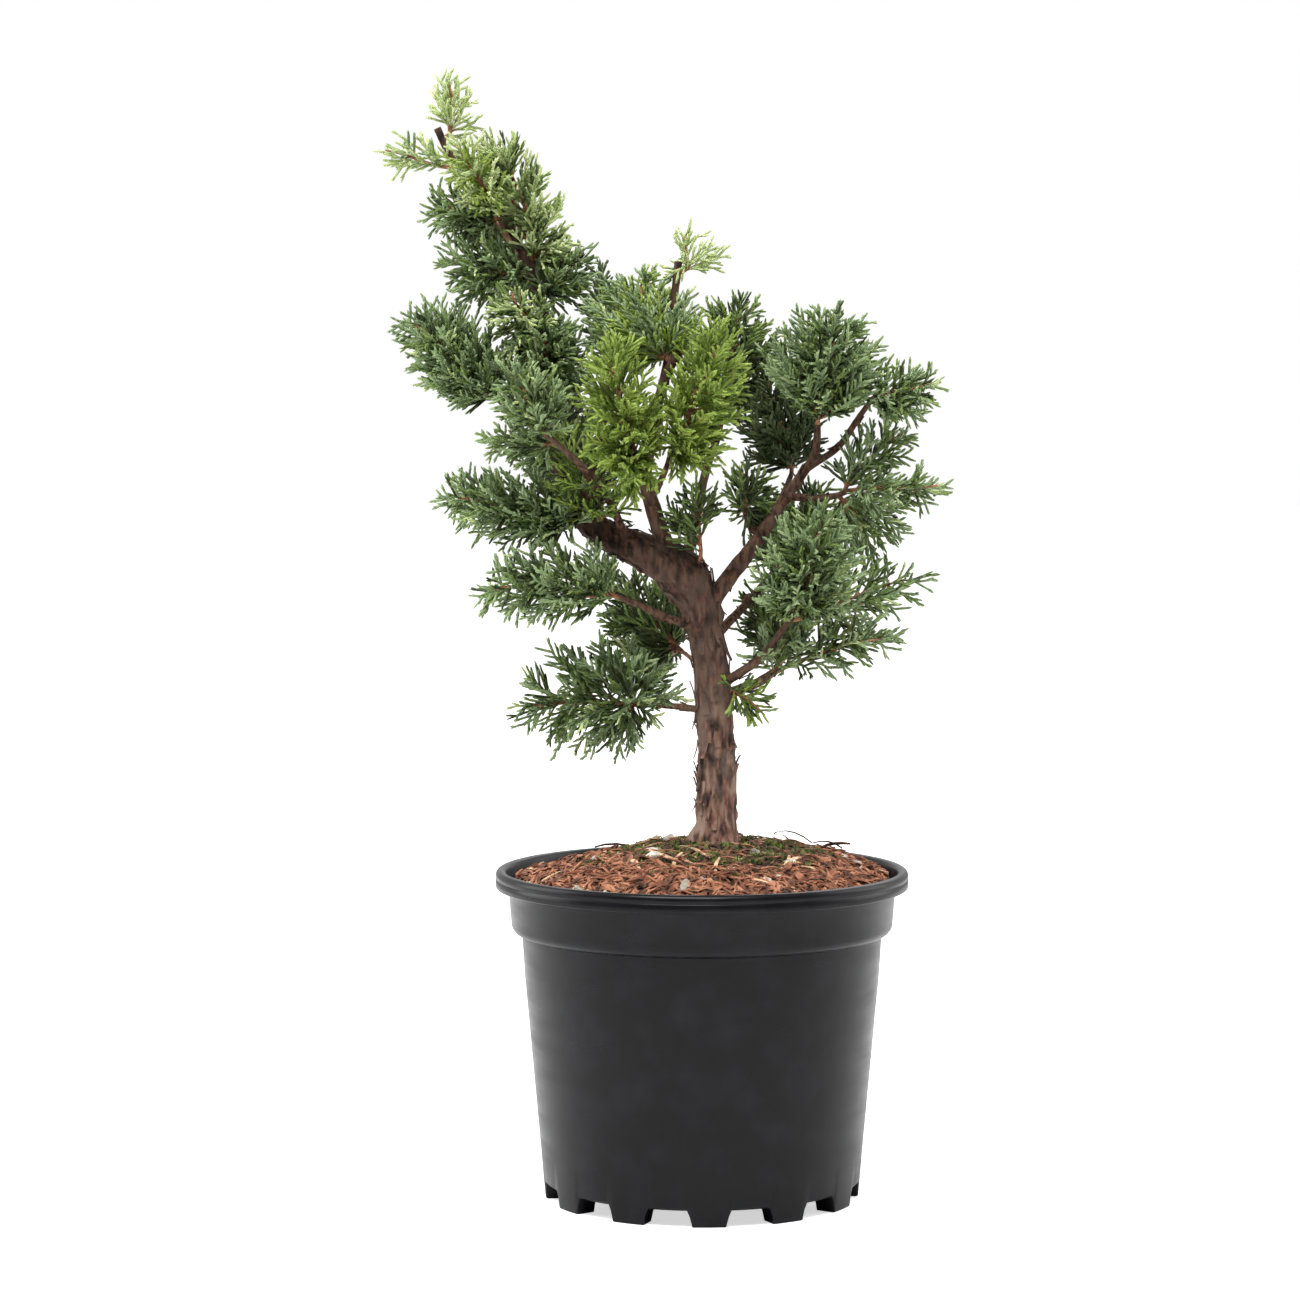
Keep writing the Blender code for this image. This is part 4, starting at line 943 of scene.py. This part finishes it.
def seat_on(spine, along, target):
    """Root of a stem on a limb, and the direction in which it leaves the bark."""
    place = along * (len(spine) - 1)
    index = min(int(place), len(spine) - 2)
    x, y, z, radius = spine[index] + (spine[index + 1] - spine[index]) * (place - index)
    point = np.array((x, y, z))
    tangent = spine[index + 1, :3] - spine[index, :3]
    tangent /= np.linalg.norm(tangent)
    if along == 1.0:
        return point - tangent * TIP_SINK, tangent
    out = target - point
    out -= tangent * out.dot(tangent)
    out /= np.linalg.norm(out)
    return point + out * (radius - BARK_SINK), out


def bezier(points, t):
    """Places along a curve through three or four control points."""
    t = np.asarray(t)[..., None]
    if len(points) == 3:
        return (1 - t) ** 2 * points[0] + 2 * t * (1 - t) * points[1] + t ** 2 * points[2]
    return ((1 - t) ** 3 * points[0] + 3 * t * (1 - t) ** 2 * points[1]
            + 3 * t ** 2 * (1 - t) * points[2] + t ** 3 * points[3])


def stem_course(root, out, space):
    """A stem that leaves the bark straight and bends through the space to its far end."""
    end = space.centre + (space.far_end(root) - space.centre) * STEM_REACH
    t = np.linspace(0.0, 1.0, STEM_STEPS)
    course = bezier((root, root + out * STEM_STRAIGHT, space.centre, end), t)
    return evenly(np.hstack((course, (STEM_RADIUS - STEM_TAPER * t)[:, None])), STEM_SPACING)


def fork_on(stem, target):
    """The place on a stem from which a twig to the target leaves it at the fork angle."""
    places = stem[FIRST_FORK:, :3]
    tangents = np.gradient(places, axis=0)
    tangents /= np.linalg.norm(tangents, axis=1)[:, None]
    ways = target - places
    lengths = np.linalg.norm(ways, axis=1)
    angles = np.arccos(np.clip((ways * tangents).sum(1) / np.maximum(lengths, 0.01), -1.0, 1.0))
    best = int(np.abs(angles - FORK_ANGLE).argmin())
    return places[best], ways[best] / lengths[best], lengths[best], tangents[best]


def unit(vector):
    return vector / np.linalg.norm(vector)


class Cords:
    """Curved tapering cords by tone, kept as control points until they are meshed."""

    def __init__(self):
        self.by_tone = {}

    def add(self, tone, start, middle, end, radius):
        self.by_tone.setdefault(tone, []).append((*start, *middle, *end, radius))

    def mesh(self, name, rows, sides, marks, swell):
        """One joined mesh of closed cords, each ending in a point."""
        rows = np.array(rows)
        starts, middles, ends, radii = rows[:, 0:3], rows[:, 3:6], rows[:, 6:9], rows[:, 9]
        count, rings = len(rows), len(marks)
        t = np.array(marks)[None, :, None]
        s, m, e = starts[:, None], middles[:, None], ends[:, None]
        places = (1 - t) ** 2 * s + 2 * t * (1 - t) * m + t ** 2 * e
        tangents = 2 * (1 - t) * (m - s) + 2 * t * (e - m)
        tangents /= np.linalg.norm(tangents, axis=2)[..., None] + 1e-9
        steep = np.abs(tangents[:, :1, 2:3]) > STEEP
        guide = np.where(steep, np.array((1.0, 0.0, 0.0)), np.array((0.0, 0.0, 1.0)))
        side = np.cross(tangents, np.broadcast_to(guide, tangents.shape))
        side /= np.linalg.norm(side, axis=2)[..., None] + 1e-9
        up = np.cross(tangents, side)
        angles = np.arange(sides) * math.tau / sides
        cosines, sines = np.cos(angles)[None, None, :, None], np.sin(angles)[None, None, :, None]
        ring = cosines * side[:, :, None] + sines * up[:, :, None]
        size = radii[:, None, None, None] * np.array(swell)[None, :, None, None]
        shell = places[:, :, None] + ring * size
        points = np.concatenate((shell.reshape(count, rings * sides, 3), ends[:, None]), axis=1)
        per_cord = rings * sides + 1
        faces = []
        for band in range(rings - 1):
            for step in range(sides):
                after = (step + 1) % sides
                a, b = band * sides + step, band * sides + after
                faces += [(a, b, b + sides), (a, b + sides, a + sides)]
        top = (rings - 1) * sides
        for step in range(sides):
            faces.append((top + step, top + (step + 1) % sides, rings * sides))
        faces += [(0, step + 1, step) for step in range(1, sides - 1)]
        faces = np.array(faces)[None] + (np.arange(count) * per_cord)[:, None, None]
        return mesh_from_arrays(name, points.reshape(-1, 3), faces.reshape(-1, 3))


def mesh_from_arrays(name, points, triangles):
    """A smooth mesh of triangles, with its points in mm from the pot's axis."""
    points = points * MM + np.array(POT_AXIS)
    mesh = bpy.data.meshes.new(name)
    mesh.vertices.add(len(points))
    mesh.vertices.foreach_set("co", points.astype(np.float32).ravel())
    mesh.loops.add(triangles.size)
    mesh.loops.foreach_set("vertex_index", triangles.astype(np.int32).ravel())
    mesh.polygons.add(len(triangles))
    mesh.polygons.foreach_set("loop_start", np.arange(0, triangles.size, 3, dtype=np.int32))
    mesh.polygons.foreach_set("loop_total", np.full(len(triangles), 3, dtype=np.int32))
    mesh.update(calc_edges=True)
    mesh.shade_smooth()
    return mesh


class Plant:
    """Limbs, spaces and stems that the growing plumes have to respect."""

    def __init__(self):
        self.limbs = {name: smooth_course(course, LIMB_SPACING) for name, course in LIMBS}
        self.spaces, self.stems = {}, {}
        for name, carrier, along, centre, half, lean, _ in MASSES:
            self.spaces[name] = Space(centre, half, lean)
            root, out = seat_on(self.limbs[carrier], along, self.spaces[name].centre)
            self.stems[name] = stem_course(root, out, self.spaces[name])
        self.centres = np.array([space.centre for space in self.spaces.values()])
        self.turns = np.array([space.axes / space.half[:, None] for space in self.spaces.values()])
        self.least = np.array([space.half.min() for space in self.spaces.values()])
        self.order = {name: index for index, name in enumerate(self.spaces)}
        self.near = {}
        for name, space in self.spaces.items():
            reach = space.half.max() + NEAR_LIMB
            self.near[name] = [spine for spine in self.limbs.values()
                               if clearance(spine, space.centre[None])[0] < reach]

    def clear(self, points, start, owner, room):
        """Whether a twig keeps to its own space and leaves the limbs free."""
        outer = points[np.linalg.norm(points - start, axis=1) > ROOT_REACH]
        if not len(outer):
            return False
        local = np.einsum("kij,nkj->nki", self.turns, outer[:, None] - self.centres[None])
        depth = (np.linalg.norm(local, axis=2) - 1.0) * self.least
        own = depth[:, self.order[owner]].copy()
        if own.max() > SKIN_MARGIN + room:
            return False
        depth[:, self.order[owner]] = 1e3
        if (depth.min(axis=1) - own).min() < -OVERLAP - room:
            return False
        return all(clearance(spine, outer).min() > LIMB_MARGIN for spine in self.near[owner])


def pick_tone(name, share, rng):
    """Outer cords take a mass's outer tone and inner ones its inner tone, with some strays."""
    outer, inner = TONES.get(name, PLAIN_TONES)
    chance = rng.random()
    if share > OUTER_SHARE:
        if outer == "blue" and chance < TIP_CHANCE:
            return "tip"
        return outer if chance < OUTER_CHANCE else inner
    # Painted shade: inner cords of plain green masses sometimes take the dark tone.
    if inner == "green" and chance < INNER_SHADE_CHANCE:
        return "dark"
    return inner if chance < INNER_CHANCE else outer


def grow_plume(cords, twigs, rng, name, start, middle, end, droop, deep):
    """One plume: a twig that turns into a green axis, with alternate side cords and their forks."""
    length = np.linalg.norm(end - start)
    bare = max(0.15, 1.0 - LONGEST_PLUME / length)
    path = (start, middle, end)
    split = bezier(path, bare)
    twigs.append((*start, *bezier(path, bare * 0.5), *split, TWIG_RADIUS))
    axis_middle = 2.0 * bezier(path, (1.0 + bare) / 2.0) - 0.5 * (split + end)
    cords.add(pick_tone(name, 0.5 if deep else 0.8, rng), split, axis_middle, end, CORD_RADIUS * 1.05)
    plane = unit(np.cross(end - start, np.array([rng.uniform(-1.0, 1.0) for _ in range(3)])))
    count = int(length * (1.0 - bare) / CORD_SPACING)
    for step in range(count):
        share = (step + 0.35) / count
        t = bare + (1.0 - bare) * share * 0.94
        place = bezier(path, t)
        tangent = unit(bezier(path, min(1.0, t + 0.03)) - bezier(path, t - 0.03))
        twist = TWISTS[step % 3] + rng.uniform(-TWIST_JITTER, TWIST_JITTER)
        side = plane * math.cos(twist) + np.cross(tangent, plane) * math.sin(twist)
        if step % 2:
            side = -side
        angle = CORD_ANGLE * rng.uniform(0.75, 1.25)
        way = unit(tangent * math.cos(angle) + side * math.sin(angle))
        reach = CORD_LENGTH * (1.0 - 0.55 * share) * rng.uniform(0.7, 1.15) * (1.0 + 0.5 * droop)
        far = place + way * reach * 0.55
        tip = far + unit(way + 0.45 * tangent + np.array((0.0, 0.0, 0.12 - droop * 0.6))) * reach * 0.5
        tone = pick_tone(name, 0.3 if deep else 0.25 + 0.75 * share, rng)
        cords.add(tone, place, far, tip, CORD_RADIUS * rng.uniform(0.85, 1.1))
        if reach > SHORTEST_FORKED:
            for fork in FORK_PLACES:
                base = bezier((place, far, tip), fork)
                swing = (1.0 if (step + int(fork * 10)) % 2 else -1.0) * 0.75
                branch = unit(way + swing * np.cross(tangent, side) * 0.6 + swing * tangent * 0.25)
                small = reach * rng.uniform(0.30, 0.48)
                cords.add(tone, base, base + branch * small * 0.5, base + unit(branch + 0.5 * way) * small,
                          CORD_RADIUS * 0.9)


def grow_mass(plant, cords, twigs, name, droop, seed):
    """One mass: its woody stem, and a plume to each place on its skin that stands clear."""
    rng = random.Random(seed)
    space, stem = plant.spaces[name], plant.stems[name]
    across, deep_half, along = space.half
    area = 4.0 * math.pi * (across * deep_half + deep_half * along + along * across) / 3.0
    spacing = PLUME_SPACING * OPENNESS.get(name, 1.0)
    fan = FANS.get(name, 1.0)
    count = min(MOST_PLUMES, int(area / spacing ** 2) + 4)
    marks = np.linspace(0.0, 1.0, 7)
    for knot in range(4):
        low, high = knot / 4.0, (knot + 1) / 4.0
        first, half, last = (stem[int(share * (len(stem) - 1))] for share in (low, (low + high) / 2.0, high))
        middle = 2.0 * half[:3] - 0.5 * (first[:3] + last[:3])
        twigs.append((*first[:3], *middle, *(last[:3] + (last[:3] - half[:3]) * 0.12), first[3]))
    tips = [space.far_end(stem[0, :3])] + space.skin(count, stem[0, :3], rng)
    for number, tip in enumerate(tips):
        deep = number % 3 == 2
        inward = rng.uniform(0.62, 0.82) if deep else rng.uniform(0.88, 1.03)
        for shrink in SHRINKS:
            target = space.centre + (tip - space.centre) * inward * shrink * fan
            start, direction, length, tangent = fork_on(stem, target)
            if length < SHORTEST_PLUME:
                break
            sag = np.array((0.0, 0.0, -1.0 if droop < 0.2 else 1.0)) * length * 0.09
            middle = start + direction * length * 0.5 + tangent * length * 0.06 + sag
            if plant.clear(bezier((start, middle, target), marks), start, name, FAN_ROOM * (fan - 1.0)):
                grow_plume(cords, twigs, rng, name, start, middle, target, droop, deep)
                break


def leaf_finish(name, dark, mid, light, roughness):
    """Scale leaves: a plain green that shifts a little from cord to cord, finely scaled."""
    nodes = Nodes(name, mid, roughness)
    shade = nodes.noise(110.0, 3.0)
    scales = nodes.cells(1050.0)
    green = nodes.ramp(shade, (0.32, dark), (0.5, mid), (0.68, light))
    # The colour turns lighter towards the edges of the scale cells.
    lighter_scale_edges = nodes.mix(nodes.ramp(scales, (0.25, 0.0), (0.75, 0.42)), green, light)
    nodes.join(lighter_scale_edges, "Base Color")
    nodes.bump(scales, 0.00035, 0.9)
    nodes.shader.inputs["Specular IOR Level"].default_value = 0.35
    return nodes.material


LEAF_TONES = {
    "tip": ((0.25, 0.34, 0.10), (0.40, 0.50, 0.19), (0.58, 0.65, 0.34), 0.6),
    "blue": ((0.078, 0.128, 0.052), (0.190, 0.275, 0.115), (0.335, 0.43, 0.215), 0.62),
    "green": ((0.054, 0.096, 0.018), (0.138, 0.210, 0.048), (0.25, 0.34, 0.105), 0.6),
    # Lit yellow-green: a yellower green, painted lighter as if lit, for the front centre.
    "bright": ((0.088, 0.150, 0.016), (0.200, 0.290, 0.038), (0.34, 0.44, 0.095), 0.58),
    # Painted shade: the dark tone stands for the shadow at the back and inside of the crown.
    "dark": ((0.018, 0.032, 0.008), (0.046, 0.072, 0.022), (0.098, 0.135, 0.048), 0.65),
}
CORD_SIDES = 4
CORD_MARKS = (0.0, 0.5, 0.86)
CORD_SWELL = (0.95, 1.05, 0.72)
CORD_TRIANGLES = 22
PIECE_TRIANGLES = 190000
plant = Plant()
cords, twig_rows = Cords(), []
for number, (name, _, _, _, _, _, droop) in enumerate(MASSES):
    grow_mass(plant, cords, twig_rows, name, droop, FIRST_SEED + number)
for tone, rows in sorted(cords.by_tone.items()):
    finish = leaf_finish("leaf_" + tone, *LEAF_TONES[tone])
    most = PIECE_TRIANGLES // CORD_TRIANGLES
    for part, first in enumerate(range(0, len(rows), most)):
        label = f"needles_{tone}_{part}"
        mesh = cords.mesh(label, rows[first:first + most], CORD_SIDES, CORD_MARKS, CORD_SWELL)
        piece = new_piece(label, mesh, finish)
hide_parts(*[name for name, *_ in MASSES])

# Twigs: thin red-brown shoots between the boughs and the green cords.
twig_finish = mulch_finish("twig_skin", (0.12, 0.045, 0.02), (0.28, 0.12, 0.055), (0.42, 0.22, 0.11),
                           0.7, 240.0)
twigs = new_piece("twigs", cords.mesh("twigs", twig_rows, 6, (0.0, 0.5, 0.97), (1.0, 0.85, 0.7)), twig_finish)

# Two dry stems that lie on the soil at the right: one wiry and curled, one thicker.
STRAY_STEMS = (
    (66, 26, 158, 60, 28, 163, 52, 30, 160, 0.45), (52, 30, 160, 44, 31, 167, 36, 30, 165.5, 0.4),
    (36, 30, 165.5, 33, 30, 164.5, 34.5, 30, 162.5, 0.35), (56, 30, 158, 62, 29, 161, 70, 27, 160, 0.8),
    (-28, 22, 158, -40, 20, 163, -50, 14, 160, 0.6), (20, 24, 162, 27, 22, 167, 33, 24, 161, 0.4),
)
stray_stems = new_piece("stray_stems", cords.mesh("stray_stems", STRAY_STEMS, 6, (0.0, 0.25, 0.5, 0.75, 0.97),
                                                  (0.8, 1.0, 1.0, 0.9, 0.7)), dark_bark)

# The stage: a white floor that runs out of sight, soft boxes on both sides and overhead, and
# the camera where the photographer stood, a little above the rim.
CAMERA_PLACE = Vector((-0.0239, -1.8, 0.3825))
CAMERA_DOWN = math.radians(4.121)
CAMERA_FOCUS = 3933.0
PHOTO_WIDTH = 1300.0
SENSOR = 36.0
FLOOR_RADIUS = 9.0
FLOOR_SIDES = 96
FLOOR_GLOW = 0.62


def flat_disc(name, radius, segments):
    mesh = bpy.data.meshes.new(name)
    turns = [math.tau * step / segments for step in range(segments)]
    points = [(radius * math.cos(turn), radius * math.sin(turn), 0.0) for turn in turns]
    mesh.from_pydata(points, [], [tuple(range(segments))])
    return mesh


def area_light(name, place, size, power, target):
    light = bpy.data.lights.new(name, "AREA")
    light.shape = "RECTANGLE"
    light.size, light.size_y = size
    light.energy = power
    lamp = bpy.data.objects.new(name, light)
    lamp.location = place
    lamp.rotation_euler = (Vector(target) - Vector(place)).to_track_quat("-Z", "Y").to_euler()
    bpy.context.scene.collection.objects.link(lamp)


floor_white = Nodes("floor_white", (0.93, 0.93, 0.93), 0.85)
floor_white.shader.inputs["Emission Color"].default_value = (1.0, 1.0, 1.0, 1.0)
glow = floor_white.tree.nodes.new("ShaderNodeLightPath")
level = floor_white.tree.nodes.new("ShaderNodeMath")
level.operation = "MULTIPLY"
level.inputs[1].default_value = FLOOR_GLOW
floor_white.tree.links.new(glow.outputs["Is Camera Ray"], level.inputs[0])
floor_white.tree.links.new(level.outputs[0], floor_white.shader.inputs["Emission Strength"])
floor = bpy.data.objects.new("floor", flat_disc("floor", FLOOR_RADIUS, FLOOR_SIDES))
floor.data.materials.append(floor_white.material)
bpy.context.scene.collection.objects.link(floor)
area_light("left_box", (-1.7, 0.35, 0.9), (1.2, 1.5), 26.0, (0.0, 0.0, 0.25))
area_light("right_box", (1.7, 0.45, 0.9), (1.2, 1.5), 18.0, (0.0, 0.0, 0.25))
area_light("top_box", (-0.3, -1.0, 2.3), (1.6, 1.1), 78.0, (0.0, 0.0, 0.3))
area_light("back_box", (0.3, 1.8, 1.6), (1.8, 1.2), 18.0, (0.0, 0.0, 0.3))
world = bpy.data.worlds.new("studio")
world.use_nodes = True
bpy.context.scene.world = world
tree = world.node_tree
seen = tree.nodes["Background"]
soft = tree.nodes.new("ShaderNodeBackground")
for backdrop in (seen, soft):
    backdrop.inputs["Color"].default_value = (1.0, 1.0, 1.0, 1.0)
    backdrop.inputs["Strength"].default_value = 1.0
way = tree.nodes.new("ShaderNodeTexCoord")
apart = tree.nodes.new("ShaderNodeSeparateXYZ")
# Light from all round fades from behind the plant to in front of it; the camera sees plain white.
fade = tree.nodes.new("ShaderNodeMapRange")
for label, value in (("From Min", -0.55), ("From Max", 0.35), ("To Min", 0.10), ("To Max", 0.85)):
    fade.inputs[label].default_value = value
rays = tree.nodes.new("ShaderNodeLightPath")
blend = tree.nodes.new("ShaderNodeMixShader")
for source, socket in ((way.outputs["Generated"], apart.inputs[0]),
                       (apart.outputs["Y"], fade.inputs["Value"]),
                       (fade.outputs["Result"], soft.inputs["Strength"]),
                       (rays.outputs["Is Camera Ray"], blend.inputs[0]),
                       (soft.outputs[0], blend.inputs[1]),
                       (seen.outputs[0], blend.inputs[2]),
                       (blend.outputs[0], tree.nodes["World Output"].inputs["Surface"])):
    tree.links.new(source, socket)
lens = bpy.data.cameras.new("camera")
lens.sensor_width = SENSOR
lens.lens = CAMERA_FOCUS / PHOTO_WIDTH * SENSOR
lens.clip_end = 60.0
camera = bpy.data.objects.new("camera", lens)
camera.location = POT_AXIS + CAMERA_PLACE
camera.rotation_euler = (math.pi / 2 - CAMERA_DOWN, 0.0, 0.0)
bpy.context.scene.collection.objects.link(camera)
bpy.context.scene.camera = camera
bpy.context.scene.view_settings.view_transform = "Standard"
